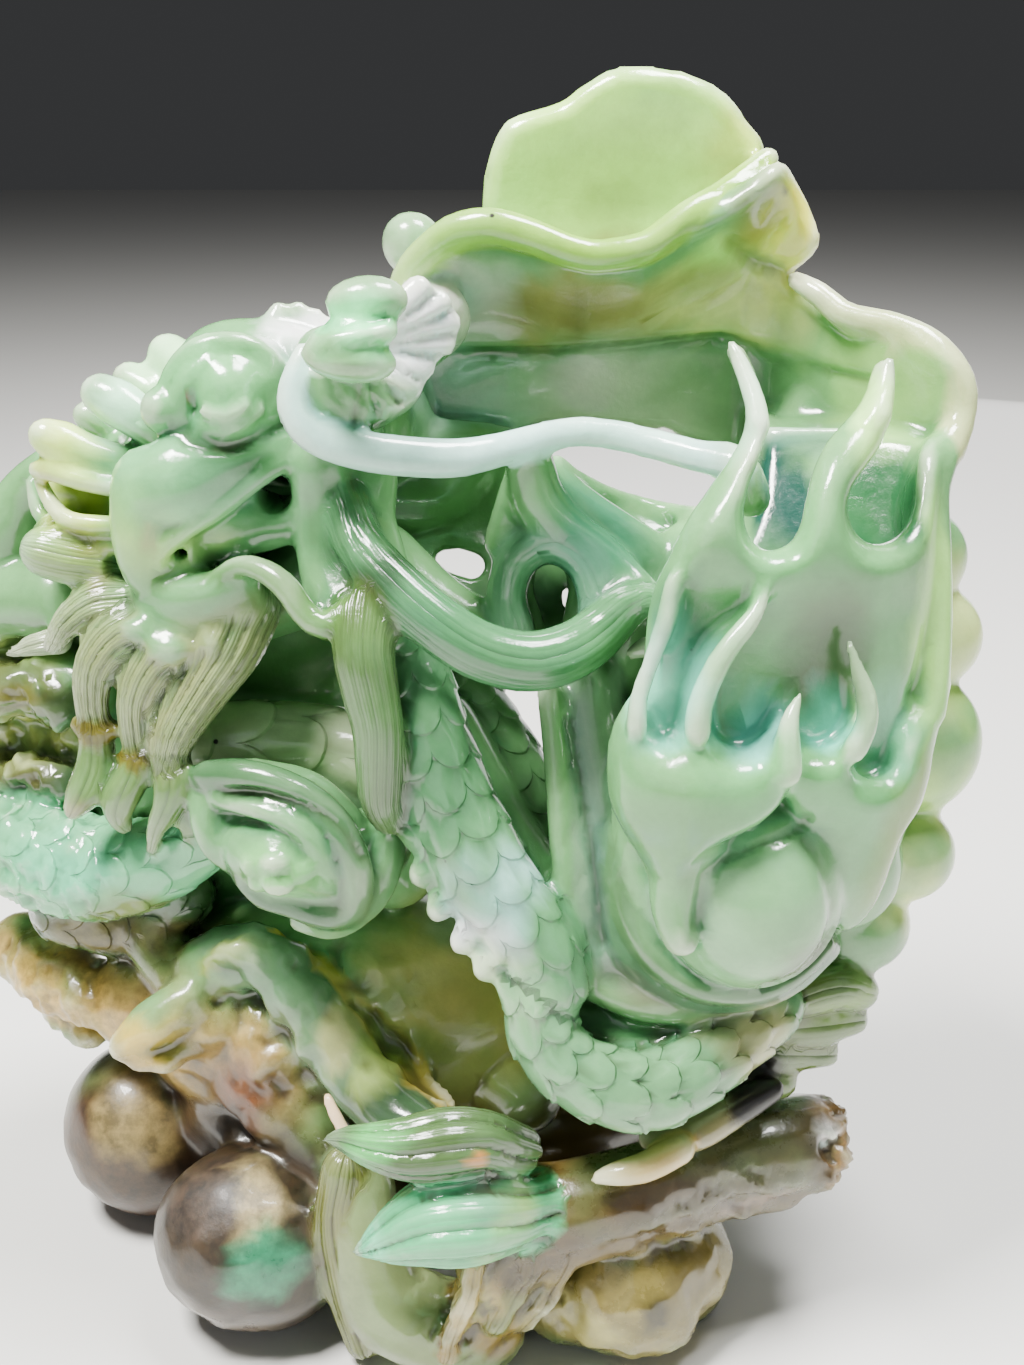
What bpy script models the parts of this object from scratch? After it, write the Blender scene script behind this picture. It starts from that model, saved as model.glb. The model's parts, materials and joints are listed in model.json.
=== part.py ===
"""Dragon carving in pale green calcite: one block of stone, carved right through, on its own rock base.

Run it with: blender --background --python part.py

The carving is laid out in millimetres. X runs to the viewer's right, -Y towards the viewer and +Z up.
Every form is either a run, which is a round bar through a few stations (x, y, z, radius), or a boss,
which is an ellipsoid. A thin curved wall stands behind the flame as a cloud screen. All of it is joined
into one skin by a voxel remesh, rounded as polished stone is, thinned, and sawn flat underneath.
"""

import math

import bmesh
import bpy
import numpy as np
from mathutils import Matrix, Vector

MM = 0.001
CENTRE = (-2.5, -13.7, 0.0)  # the middle of the footprint in the layout, which becomes the origin
STONE = "dragon_carving"
STONE_COLOUR = (0.47, 0.65, 0.54, 1)
STONE_ROUGHNESS = 0.22

GRAIN = 1.15  # voxel size of the joined skin
POLISH_ROUNDS = 4
TRIANGLES = 9600
RUN_STEPS = 5  # curve points between two stations
BEVEL_SIDES = 3
CAP_ANGLES = (25, 50, 70, 85)  # degrees, the rings of a run's half-round end
BOSS_DETAIL = 4  # subdivisions of the ball that a boss starts from
WELD = 1e-6  # metres
SAW_SIZE = 400.0

# ---------------------------------------------------------------- the screen of cloud behind the flame
WALL_THICKNESS = 7.0
WALL_CELL = 1.6
WALL_DEPTH = 13.0  # y of the front wall's middle, away from its edges
LIP_SWING, LIP_RISE, LIP_END = 12.0, 9.0, 52.0  # how far the wall comes forward at the lip, over what height
SIDE_SWING, SIDE_START, SIDE_WIDTH = 24.0, 44.0, 32.0  # the same at the right rim, from x on
FOOT_SWING, FOOT_TOP, FOOT_HEIGHT = 10.0, 110.0, 60.0  # and low on the right
LOBE_DEPTH, LOBE_BOWL = 17.0, 3.0  # the back lobe is a shallow bowl
LOBE_MIDDLE, LOBE_REACH = (27.0, 176.0), (26.0, 19.0)

LIP = (
    (-8, 2, 163, 2), (-4.5, 0, 167.5, 2.5), (1, -1, 171.5, 3), (8.5, -2, 171, 3), (15, -2, 168.5, 3),
    (22.5, -2, 168, 3), (30, -1, 170, 3), (38.5, 2, 175.5, 2.5), (46, 7, 180, 2),
)
TOP_LOBE = (
    (4.5, 14, 168, 3), (5.5, 15, 177, 3), (8, 15, 182, 3), (14, 15, 185, 3), (19, 15, 188.5, 3),
    (27, 15, 191, 3), (35, 15, 190, 3), (42, 14, 185, 3), (46.5, 11, 178.5, 3), (50.5, 9, 173, 3),
    (52, 8, 168, 3), (49, 7, 163, 3),
)
RIGHT_RIM = (
    (40, 7, 168, 2), (46, 5, 164.5, 2), (53, 2, 162, 2.5), (58, -2, 158, 2.5), (64.5, -5, 157, 2.5),
    (70, -9, 155, 2.5), (74, -12, 149, 2.5), (73, -12, 141, 2.5), (71.5, -12, 133, 2.5),
)
WALL_OUTLINE = (
    (-14, 120), (-16, 132), (-15, 145), (-12, 156), (-8, 163), (-3, 168), (8, 170), (22, 167), (36, 171),
    (50, 163), (60, 157), (70, 154), (73, 148), (72, 134), (77, 122), (79, 108), (80, 94), (78, 76),
    (70, 62), (60, 50), (40, 50), (40, 100), (44, 128), (41, 138), (30, 141), (20, 141), (12, 139),
    (6, 127), (-3, 124),
)
LOBE_OUTLINE = (
    (4.5, 160), (5.5, 177), (8, 182), (14, 185), (19, 188.5), (27, 191), (35, 190), (42, 185), (46.5, 178.5),
    (50.5, 173), (52, 168), (49, 160),
)
SCALLOPS = (
    # middle, then radii across, deep and up
    ((70, -8, 123.5), (8, 7, 8)),
    ((72.5, -9, 111), (9, 8, 8.5)),
    ((71.5, -12, 94), (11, 9, 12)),
    ((71, -15, 76), (8.5, 8, 8)),
    ((64.5, -17, 64), (8.5, 8, 8)),
)

# ---------------------------------------------------------------- the flame and the pearl
TONGUES = (
    ((37, -30, 158.5, 1), (38.5, -32, 155, 1.5), (40.5, -34, 150, 2), (39.5, -37, 145.5, 2.5),
     (36.5, -40, 141, 3.5), (32.5, -42, 134, 3), (30.5, -43, 127, 2.5), (28.5, -44, 118, 3),
     (25.5, -44, 111, 3.5)),
    ((58.5, -28, 156, 1), (58.5, -29, 152.5, 1.5), (55.5, -33, 146, 3.5), (51.5, -37, 140, 4),
     (50, -39, 134, 4)),
    ((68.5, -20, 143, 1.5), (67, -26, 137, 2.5), (65.5, -31, 130, 3), (64.5, -33, 119, 2.5),
     (61.5, -34, 108, 2)),
    ((41.5, -41, 128.5, 1), (40.5, -43, 123, 2), (36.5, -46, 118.5, 2.5), (33, -47, 112, 2.5)),
    ((46, -42, 113, 1.5), (44, -44, 107.5, 3)),
    ((54.5, -38, 118.5, 1), (57, -39, 111.5, 1.5), (56, -41, 105, 2.5), (52, -42, 101, 3)),
    ((73.5, -20, 107, 2.5), (71, -26, 99, 3), (66, -30, 89, 3), (63.5, -31, 80, 3)),
)
TONGUE_WEBS = (
    ((38.5, -37, 140, 2.5), (40, -39, 133.5, 2.5), (43.5, -40, 131.5, 2.5), (47, -40, 134, 3)),
    ((52.5, -38, 136, 2.5), (56, -38, 132, 2.5), (60, -36, 131.5, 2.5), (64, -33, 133, 2.5)),
    ((27.5, -44, 109, 3.5), (39.5, -45, 105.5, 3.5), (51, -43, 103, 3.5), (63.5, -36, 97, 3.5)),
)
FLAME_PANELS = (
    ((48.5, -11, 146, 6), (46, -19, 138, 7), (44, -27, 129, 7)),
    ((65, -11, 142, 6), (62, -18, 135, 7), (60, -26, 127, 7)),
)
PANEL_FEET = (35, 41, 47, 53, 59)  # x of the ribs that fill the flame's hollow front
PANEL_TOP, PANEL_BOTTOM = (-30, 130, 7), (-29, 102, 8)  # y, z and radius at the ribs' ends
FLAME_BODY = (
    ((36.5, -32, 96), (13, 14, 14)),
    ((60, -27, 92), (9.5, 9, 14)),
    ((60.5, -26, 78), (8, 8, 11)),
)
FLAME_TAIL = ((37, -36, 95, 10), (33.5, -41, 91, 7.5), (31, -46, 86, 4.5), (31, -50, 80.5, 3))
PEARL = ((40.5, -39, 82.5), (14, 14, 14))
DISH_RIM = (
    (25, -33, 88, 3), (23.5, -37, 81, 2.5), (26.5, -40, 74, 2.5), (33, -42, 69, 2.5), (42.5, -42, 67, 2.5),
    (50, -39, 69, 2.5), (55, -36, 72, 2.5),
)
DISH_BED = ((36, -27, 78, 11), (45, -27, 74, 12), (53, -25, 74, 9))

# ---------------------------------------------------------------- the head
SKULL = (
    ((-40, -6, 152, 4), (-31, -8, 155.5, 5), (-24, -8, 154, 5), (-20, -9, 151, 6)),
    ((-27, -6, 157, 3), (-25.5, -6, 161, 2)),
    ((-22, -5, 157, 3), (-21.5, -5, 160.5, 2)),
    ((-58, -4, 132, 8), (-43.5, -2, 135.5, 11), (-31, 0, 141, 12), (-18, 0, 142, 11)),
    ((-49, -8, 116, 7), (-39.5, -8, 114.5, 8), (-30, -6, 118, 8), (-20.5, -4, 123, 9)),
)
BROW = (
    ((-42, -17, 147.5, 3), (-38, -17, 152.5, 2), (-32, -18, 157, 2), (-26, -18, 155.5, 2),
     (-24.5, -17, 151, 1.5)),
    ((-35.5, -21, 146, 1), (-31, -23, 146.5, 1.5), (-26, -20, 150.5, 1)),
)
EYE = ((-31.5, -16.5, 151), (6, 7, 6))
NOSE_BULBS = (
    ((-60, -12, 142.5, 4), (-52, -10, 138.5, 4.5)),
    ((-52.5, -8, 148, 4), (-45.5, -10, 144, 4)),
    ((-52, 6, 148, 3), (-48, 3, 146, 3.5)),
    ((-46, 8, 151.5, 4), (-42, 4, 149.5, 4.5)),
    ((-57.5, 0, 143.5, 2.5), (-54, 0, 141, 3)),
)
JAWS = (
    ((-43.5, -19, 136.5, 7), (-34, -18, 139.5, 6.5), (-24, -14, 142, 5)),
    ((-44.5, -21, 130, 4.5), (-45, -21, 124, 3)),
    ((-43.5, -25, 126, 1.5), (-41, -27, 131, 2), (-32, -28, 136, 2), (-22, -22, 141.5, 1.5)),
    ((-44.5, -22, 122.5, 2.5), (-40.5, -24, 122, 2.5), (-36, -24, 124, 3), (-31.5, -22, 125.5, 2.5)),
)
LIPS = (
    ((-62.5, -12, 138, 1.5), (-57, -14, 137.5, 1.5), (-49, -14, 135, 2)),
    ((-62, -12, 135, 1.5), (-58, -16, 132, 1.5), (-50, -18, 131, 2)),
    ((-58.5, -14, 128.5, 1.5), (-50, -17, 127.5, 2)),
    ((-61, -16, 126.5, 5), (-55, -15, 125, 4), (-50, -13, 124, 3)),
)
WHISKER = (
    (-31, -23, 127.5, 1.5), (-26, -27, 126.5, 2), (-22, -30, 121.5, 2), (-18, -31, 120, 2.5),
    (-12, -28, 123, 2),
)
NAPE = (
    ((-80, 4, 119, 7), (-73.5, 3, 125, 6), (-67, 2, 132, 4.5), (-61, 0, 136, 4.5)),
    ((-80, 2, 109.5, 6.5), (-73, 0, 113.5, 6.5), (-63, -4, 116, 6.5)),
)

# ---------------------------------------------------------------- the horn fan and the long whisker
FAN_PIVOT = Vector((-10, -20, 157.5))
FAN_TIPS = (
    (-2.5, -16, 165), (0, -15, 162), (0, -15, 158.5), (-2, -16, 155.5), (-5, -18, 152), (-8, -20, 149.5),
    (-11.5, -22, 148), (-16, -24, 148),
)
FAN_ROOT_RADIUS, FAN_TIP_RADIUS = 2.2, 1.5
BEANS = (((-11.5, -27, 164), (6, 4, 3.8)), ((-13.5, -29, 158), (7, 5, 4.5)))
LONG_WHISKER = (
    (-19.5, -24, 156, 2), (-22, -25, 152.5, 2.5), (-20.5, -27, 147.5, 2.5), (-13.5, -27, 144.5, 3),
    (-7, -26, 143.5, 3), (0.5, -24, 142.5, 3), (8, -22, 144, 2.5), (18, -21, 146, 2.5),
    (27.5, -23, 144.5, 2.5), (34, -27, 143, 2.5), (39, -30, 142, 2.5),
)
BACK_BALL = ((-7.5, 12, 168, 5), (-3, 12, 162, 4))

# ---------------------------------------------------------------- the mane
MANE = (
    ((-19.5, -18, 141, 5), (-19.5, -19, 131, 5), (-17, -24, 121, 5)),
    ((-13.5, -14, 138, 5), (-13, -18, 128, 5), (-12, -26, 119.5, 5)),
    ((-16, -22, 133, 4), (-10, -28, 126.5, 4), (-1.5, -32, 120, 4.5), (8, -32, 115, 4.5),
     (17, -29, 115.5, 4.5), (22, -27, 119.5, 4), (28, -31, 124, 2.5)),
    ((21.5, -24, 119, 4), (20.5, -21, 126.5, 4), (13, -18, 129.5, 3.5), (7, -16.5, 125.5, 3),
     (6, -17, 117, 3.5)),
    ((20, -10, 115, 4), (20, -8, 122, 4), (13, -7, 126.5, 3.5), (8, -6, 120, 4)),
    ((-12, -10, 123.5, 6), (-3, -14, 116.5, 5), (6, -16, 112.5, 5)),
    ((10.5, -19, 141, 4), (14, -19, 133, 4), (21, -20, 126.5, 4), (28.5, -27, 122.5, 2.5)),
    ((10.5, -17, 139, 3), (6.5, -16, 129, 3)),
    ((14.5, -14, 139, 2), (17.5, -10, 135.5, 2), (22.5, -7, 131.5, 2), (29, -6, 128.5, 2),
     (37, -12, 129, 3)),
    ((21.5, -8, 128, 4), (29, -9, 121, 5)),
    ((34, -12, 127, 4), (34, -20, 120, 5)),
    ((38.5, -28, 143, 3), (40, -28, 138, 3)),
)
HANGING_LOCK = (
    (-12.5, -30, 121, 5), (-12.5, -34, 113, 4.5), (-11, -35, 104, 4), (-11, -35, 95, 3.5),
    (-10, -34, 91, 2),
)
BACK_OF_MOUTH = ((-16, 4, 128, 8), (-4, 6, 128, 6), (2, 8, 134, 6))

# ---------------------------------------------------------------- beard and claws
BEARD = (
    ((-49, -18, 119.5, 3.5), (-57, -20, 117.5, 3), (-60.5, -20, 112.5, 2)),
    ((-46, -20, 116.5, 4), (-53, -23, 112, 3.5), (-54.5, -23, 102, 3)),
    ((-40.5, -21, 114.5, 4), (-47, -25, 107, 3.5), (-47.5, -25, 98.5, 2.5)),
    ((-32, -18, 119, 6), (-35, -24, 111, 5.5), (-43.5, -28, 97.5, 3)),
    ((-37.5, -20, 115.5, 6), (-42.5, -25, 105, 4), (-45, -26, 99, 3)),
    ((-62, -12, 111, 2.5), (-70, -13, 109, 1)),
)
CLAWS = (
    ((-54.5, -23, 102, 3), (-55.5, -24, 95, 3), (-57, -26, 90.5, 3)),
    ((-48, -25, 98.5, 2.5), (-50, -26.5, 92, 3), (-51, -26, 86, 2)),
    ((-42.5, -27, 98, 3), (-42.5, -28, 93, 3.5), (-45.5, -28, 86.5, 2), (-47, -27, 82.5, 1.5)),
    ((-42.5, -28, 91.5, 2), (-41, -27, 86.5, 1.5), (-41.5, -26, 82, 1.5)),
)
BEARD_LUMPS = (
    ((-46, -25, 117), (2.5, 2, 2.5)),
    ((-41.5, -27, 114.5), (3, 2.5, 3)),
    ((-33.5, -25, 115.5), (3, 2, 2)),
)

# ---------------------------------------------------------------- the scaled bodies and the cloud curl
BODIES = (
    ((-81, -2, 78, 7), (-76, -8, 75, 8), (-67, -14, 74, 8.5), (-57, -18, 74, 8.5), (-47, -20, 77, 7),
     (-39, -22, 83.5, 5.5), (-37, -22, 89, 4.5)),
    ((-66, -9, 63, 7), (-56, -9, 61, 7), (-47, -12, 65, 6)),
    ((-42, -10, 94, 6.5), (-28, -8, 93.5, 6.5), (-12.5, -12, 90.5, 7)),
    ((-38, -12, 83, 8), (-21.5, -12, 83.5, 9.5), (-12, -12, 73, 8.5)),
    ((-7, -22, 113, 5.5), (-4.5, -28, 102, 6), (0, -33, 91, 7), (6, -37, 80.5, 7), (14.5, -42, 68, 5)),
    ((-3, -18, 97.5, 6), (4, -22, 84, 7.5), (11, -28, 73, 7.5)),
    ((-2, -8, 104, 5), (5, -12, 94, 5.5), (11, -18, 83, 5.5), (13, -22, 77, 4)),
    ((-10.5, 2, 104, 8), (-5.5, 0, 98, 7.5)),
    ((11.5, -42, 68, 5), (12.5, -44, 61.5, 5.5), (17, -46, 56, 6), (25, -47, 53, 6), (35, -43, 54, 6),
     (43, -38, 56, 5), (49, -33, 57.5, 4.5)),
    ((15.5, -32, 55, 8), (28, -34, 52.5, 8.5), (41, -30, 55.5, 8)),
)
TOOTH = (2.6, 3, 3)
FIN_TEETH = ((-5.5, -35, 88), (-4.5, -37, 82.5), (-1.5, -40, 76.5), (3, -42, 70.5), (8.5, -44, 67))
CLOUD_CURL = (
    ((-37, -30, 96.5, 2.5), (-28, -34, 98, 2.5), (-19.5, -36, 94, 3), (-14.5, -37, 85, 3),
     (-16.5, -36, 76.5, 3), (-25, -36, 78, 2.5), (-32, -35, 83, 2.5)),
    ((-34.5, -33, 94, 2.5), (-26, -40, 94.5, 2.5), (-19.5, -41, 89, 2.5), (-19, -40, 82.5, 2)),
    ((-28.5, -37, 85, 4), (-21, -38, 84, 3.5)),
    ((-34, -28, 88, 6), (-26, -28, 83, 9), (-16, -27, 80, 7.5)),
)
SLOPE = (
    ((-29.5, 2, 56, 10.5), (-15.5, 0, 51.5, 10.5), (-4.5, -6, 43, 10.5), (9.5, -20, 33, 8)),
    ((-12, -8, 61.5, 4), (1, -12, 50, 4)),
)
LEAF = (
    ((13.5, -24, 107, 2), (15, -30, 93, 2.5), (17, -35, 77, 2.5), (19.5, -38, 67, 2.5)),
    ((20, -20, 107, 5), (22, -26, 92, 5.5), (25, -32, 75, 6), (30, -36, 66, 5.5)),
    ((19.5, -38, 65.5, 2.5), (27.5, -39, 63, 3), (46, -34, 62, 3)),
    ((24, -10, 106, 6), (28, -16, 96, 7)),
    ((32, -26, 115, 2), (26.5, -24, 113.5, 2)),
)
PETALS = (
    ((29, -43, 41, 2), (35.5, -42, 41, 3), (48.5, -37, 45.5, 2.5)),
    ((22, -50, 40, 2), (27, -49, 40.5, 2.5), (33.5, -46, 41.5, 2.5)),
    ((50.5, -28, 56, 4), (59, -26, 57.5, 4), (64.5, -24, 55, 3.5)),
    ((51, -29, 52, 3.5), (63.5, -25, 50, 3)),
    ((50, -30, 48, 3.5), (59, -27, 45, 2.5)),
    ((43.5, -33, 44, 3.5), (51, -31, 42.5, 3)),
)

# ---------------------------------------------------------------- the rock, the log and the pods
LOG = (
    ((6, -42, 24, 8), (15.5, -45, 29, 7.5), (28, -42, 30, 7), (41.5, -36, 30, 7), (56, -30, 27, 8)),
    ((9, -48, 22, 4.5), (21.5, -46, 25, 4.5), (41.5, -38, 25, 4.5)),
)
PODS = (
    ((-19, -50, 46.5, 1.5), (-13.5, -51, 47, 3), (-5, -52, 47, 5.5), (3.5, -50, 46, 5), (9, -46, 41, 4)),
    ((-15.5, -52, 27, 1.5), (-10, -54, 32, 4), (0, -54, 35.5, 7.5), (12.5, -46, 31, 5)),
    ((12.5, -45, 30, 6.5), (6, -46, 20, 6.5), (4.5, -46, 8, 5.5)),
)
LEAF_MASS = (
    ((-16.5, -38, 29, 6), (-16, -42, 20, 6.5), (-13, -44, 10, 7.5), (-4, -46, 6, 8)),
    ((-18.5, -40, 33, 4), (-20, -42, 22, 3.5), (-18, -45, 10, 3.5), (-15, -48, 2, 3.5)),
)
ROCK = (
    ((-42, -21, 35, 17), (-31, -21, 33, 13)),
    ((-54.5, -10, 45, 10), (-39.5, -15, 49.5, 10)),
    ((-78, 2, 47, 9), (-70, -8, 47, 7.5), (-61.5, -14, 45.5, 4.5)),
    ((-72, -4, 40, 5), (-66, -8, 37, 4)),
    ((-44, -26, 54.5, 4), (-49.5, -28, 51, 4.5), (-54, -29, 48, 3)),
    ((-40, -26, 49, 3.5), (-46, -28, 46.5, 3.5), (-52, -29, 46, 2.5)),
    ((-52.5, -13, 60, 5.5), (-43, -22, 54.5, 4)),
    ((-40.5, -27, 60.5, 2), (-36, -30, 66, 3), (-32, -30, 63.5, 2.5), (-33.5, -29, 60, 1.5)),
    ((-36, -22, 59.5, 5.5), (-28.5, -24, 57, 6.5), (-20, -29, 49, 7.5), (-6, -40, 43, 4.5)),
    ((-80, 4, 99, 6.5), (-71.5, 0, 100, 6.5), (-62, -4, 100, 6)),
    ((-79, 4, 87, 8), (-72, 2, 86, 8), (-58, 0, 88.5, 8.5)),
)
BASE_BULBS = (
    ((-36, -36, 14.5), (15, 14, 15)),
    ((-60, -8, 12.5), (13, 14, 13)),
    ((27, -42, 11), (17, 14, 13.5)),
)
HEART = (
    # the block behind the carving, which joins everything and stands on the ground
    ((-8, 4, 16), (52, 30, 19)),
    ((-20, -8, 40), (40, 22, 26)),
    ((18, 2, 40), (44, 24, 28)),
    ((52, 6, 62), (22, 17, 32)),
    ((60, 2, 100), (17, 13, 34)),
    ((60, -4, 138), (11, 8, 16)),
    ((-44, 8, 78), (32, 20, 30)),
    ((-42, 10, 112), (30, 16, 30)),
    ((-20, 8, 138), (17, 11, 18)),
)

# ---------------------------------------------------------------- the back: the body's long bend and the scrolls
BACK_BODY = (
    (-14, 11, 146, 7), (-30, 15, 136, 9), (-46, 18, 120, 11), (-55, 18, 100, 12), (-48, 20, 80, 12.5),
    (-30, 20, 65, 12.5), (-8, 18, 56, 11.5), (16, 18, 52, 10.5), (38, 17, 56, 9), (54, 16, 70, 7.5),
    (59, 12, 88, 5.5), (56, 9, 103, 3.5),
)
SCROLL_STEPS, SCROLL_TURNS = 14, 1.6
SCROLL_CLOSE, SCROLL_TAPER = 0.85, 0.35  # shares of the reach and of the rope lost on the way in
SCROLLS = (
    # middle, reach, rope radius, hand
    ((61, 11, 118), 10, 3.2, 1),
    ((48, 12, 147), 10, 3.0, -1),
    ((20, 15, 156), 9, 2.8, 1),
    ((-22, 18, 118), 9, 3.0, -1),
    ((-66, 16, 62), 9, 3.0, 1),
    ((30, 27, 22), 11, 3.5, -1),
    ((-32, 28, 24), 12, 3.8, 1),
)


def smooth_run(stations):
    """Catmull-Rom points (x, y, z, radius) through the stations, with RUN_STEPS to each stretch."""
    knots = np.array(stations, float)
    knots = np.vstack([2 * knots[0] - knots[1], knots, 2 * knots[-1] - knots[-2]])
    points = []
    for before, start, end, after in zip(knots, knots[1:], knots[2:], knots[3:]):
        for step in range(RUN_STEPS):
            t = step / RUN_STEPS
            bend = 2 * before - 5 * start + 4 * end - after
            twist = 3 * (start - end) + after - before
            points.append(0.5 * (2 * start + (end - before) * t + bend * t**2 + twist * t**3))
    points.append(knots[-2])
    return np.array(points)


def round_end(tip, towards):
    """Points that close a run's end with half a ball; towards points out of the run."""
    radius = tip[3]
    rings = []
    for angle in CAP_ANGLES:
        turn = math.radians(angle)
        place = tip[:3] + towards * radius * math.sin(turn)
        rings.append(np.append(place, radius * math.cos(turn)))
    return rings


def rounded_run(stations):
    """The smooth run with a half-round end at each side."""
    points = smooth_run(stations)
    first = points[0, :3] - points[1, :3]
    last = points[-1, :3] - points[-2, :3]
    head = round_end(points[0], first / np.linalg.norm(first))[::-1]
    tail = round_end(points[-1], last / np.linalg.norm(last))
    return np.vstack([head, points, tail])


def add_runs(name, runs):
    """One curve object with a round bar for each run."""
    curve = bpy.data.curves.new(name, "CURVE")
    curve.dimensions = "3D"
    curve.bevel_depth = MM
    curve.bevel_resolution = BEVEL_SIDES
    curve.use_fill_caps = True
    for stations in runs:
        points = rounded_run(stations)
        spline = curve.splines.new("POLY")
        spline.points.add(len(points) - 1)
        for slot, point in zip(spline.points, points):
            slot.co = (*(point[:3] * MM), 1)
            slot.radius = point[3]
    bars = bpy.data.objects.new(name, curve)
    bpy.context.scene.collection.objects.link(bars)
    return bars


def add_bosses(name, bosses):
    """One mesh object with an ellipsoid for each boss."""
    mesh = bpy.data.meshes.new(name)
    shape = bmesh.new()
    for middle, radii in bosses:
        place = Matrix.Translation(Vector(middle) * MM) @ Matrix.Diagonal((*(Vector(radii) * MM), 1))
        bmesh.ops.create_icosphere(shape, subdivisions=BOSS_DETAIL, radius=1, matrix=place)
    shape.to_mesh(mesh)
    shape.free()
    lumps = bpy.data.objects.new(name, mesh)
    bpy.context.scene.collection.objects.link(lumps)
    return lumps


def fan_runs():
    """The ribs of the fan behind the horn, spread from one pivot to the tips."""
    root = (*FAN_PIVOT, FAN_ROOT_RADIUS)
    runs = []
    for tip in FAN_TIPS:
        runs.append((root, (*tip, FAN_TIP_RADIUS)))
    return runs


def panel_runs():
    """The ribs side by side that make the flame's hollow front."""
    return [((foot, *PANEL_TOP), (foot, *PANEL_BOTTOM)) for foot in PANEL_FEET]


def tooth_bosses():
    """The saw teeth along the fin of the slanting body."""
    return [(place, TOOTH) for place in FIN_TEETH]


def scroll_run(middle, reach, rope, hand):
    """The stations of a cloud scroll: a rope that winds inwards in the XZ plane."""
    x, y, z = middle
    stations = []
    for step in range(SCROLL_STEPS + 1):
        share = step / SCROLL_STEPS
        turn = hand * share * SCROLL_TURNS * math.tau
        arm = reach * (1 - SCROLL_CLOSE * share)
        place = (x + arm * math.cos(turn), y, z + arm * math.sin(turn))
        stations.append((*place, rope * (1 - SCROLL_TAPER * share)))
    return stations


def lip_height(x):
    """Height of the rolled lip's middle at x."""
    lip = np.array(LIP, float)
    return float(np.interp(x, lip[:, 0], lip[:, 2]))


def share_of(value, start, width):
    """How far value is along the stretch from start, from 0 to 1."""
    return min(max((value - start) / width, 0), 1)


def front_wall_depth(x, z):
    """Where the screen's middle lies in Y: hollow in the middle, forward at the lip and the right rim."""
    depth = WALL_DEPTH
    if x < LIP_END:
        depth -= LIP_SWING * math.exp(-(((lip_height(x) - z) / LIP_RISE) ** 2))
    side = share_of(x, SIDE_START, SIDE_WIDTH)
    depth -= SIDE_SWING * side**2 * (3 - 2 * side)
    depth -= FOOT_SWING * share_of(-z, -FOOT_TOP, FOOT_HEIGHT) * side
    return depth


def top_lobe_depth(x, z):
    """Where the back lobe's middle lies in Y: a shallow bowl."""
    across = (x - LOBE_MIDDLE[0]) / LOBE_REACH[0]
    up = (z - LOBE_MIDDLE[1]) / LOBE_REACH[1]
    return LOBE_DEPTH - LOBE_BOWL * (across**2 + up**2)


def inside(outline, x, z):
    """Whether (x, z) lies inside the closed outline."""
    within = False
    for (x1, z1), (x2, z2) in zip(outline, outline[1:] + outline[:1]):
        if (z1 > z) != (z2 > z) and x < x1 + (x2 - x1) * (z - z1) / (z2 - z1):
            within = not within
    return within


def add_wall(name, outline, depth):
    """A bent sheet of even thickness inside the outline, from a grid in the XZ plane."""
    corners = np.array(outline, float)
    low, high = corners.min(axis=0), corners.max(axis=0)
    cells = np.ceil((high - low) / WALL_CELL).astype(int)
    shape = bmesh.new()
    bmesh.ops.create_grid(shape, x_segments=int(cells[0]), y_segments=int(cells[1]), size=0.5)
    outside = []
    for vert in shape.verts:
        x, z = low + (high - low) * (np.array(vert.co[:2]) + 0.5)
        vert.co = Vector((x, depth(x, z), z)) * MM
        if not inside(outline, x, z):
            outside.append(vert)
    bmesh.ops.delete(shape, geom=outside, context="VERTS")
    bmesh.ops.recalc_face_normals(shape, faces=shape.faces)
    bmesh.ops.solidify(shape, geom=shape.faces, thickness=WALL_THICKNESS * MM)
    mesh = bpy.data.meshes.new(name)
    shape.to_mesh(mesh)
    shape.free()
    wall = bpy.data.objects.new(name, mesh)
    bpy.context.scene.collection.objects.link(wall)
    return wall


def mesh_of(shape):
    """A mesh copy of the object as Blender evaluates it, with a curve's caps welded; the object goes."""
    graph = bpy.context.evaluated_depsgraph_get()
    mesh = bpy.data.meshes.new_from_object(shape.evaluated_get(graph))
    shaped = bmesh.new()
    shaped.from_mesh(mesh)
    bmesh.ops.remove_doubles(shaped, verts=shaped.verts, dist=WELD)
    shaped.to_mesh(mesh)
    shaped.free()
    bpy.data.objects.remove(shape, do_unlink=True)
    return mesh


def join(shapes):
    """All the meshes as one, moved so that the footprint's middle is the origin."""
    whole = bmesh.new()
    for shape in shapes:
        mesh = mesh_of(shape)
        whole.from_mesh(mesh)
        bpy.data.meshes.remove(mesh)
    bmesh.ops.translate(whole, verts=whole.verts, vec=-Vector(CENTRE) * MM)
    mesh = bpy.data.meshes.new(STONE)
    whole.to_mesh(mesh)
    whole.free()
    return mesh


def calcite():
    """Pale green polished calcite."""
    stone = bpy.data.materials.new("polished_green_calcite")
    stone.use_nodes = True
    shader = stone.node_tree.nodes["Principled BSDF"]
    shader.inputs["Base Color"].default_value = STONE_COLOUR
    shader.inputs["Roughness"].default_value = STONE_ROUGHNESS
    shader.inputs["Metallic"].default_value = 0.0
    return stone


def add_saw(collection):
    """A block that reaches from the ground down, to saw the underside flat."""
    shape = bmesh.new()
    bmesh.ops.create_cube(shape, size=SAW_SIZE * MM)
    bmesh.ops.translate(shape, verts=shape.verts, vec=(0, 0, -SAW_SIZE / 2 * MM))
    mesh = bpy.data.meshes.new("ground_saw")
    shape.to_mesh(mesh)
    shape.free()
    saw = bpy.data.objects.new("ground_saw", mesh)
    saw.hide_render = True
    saw.display_type = "WIRE"
    collection.objects.link(saw)
    return saw


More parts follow.
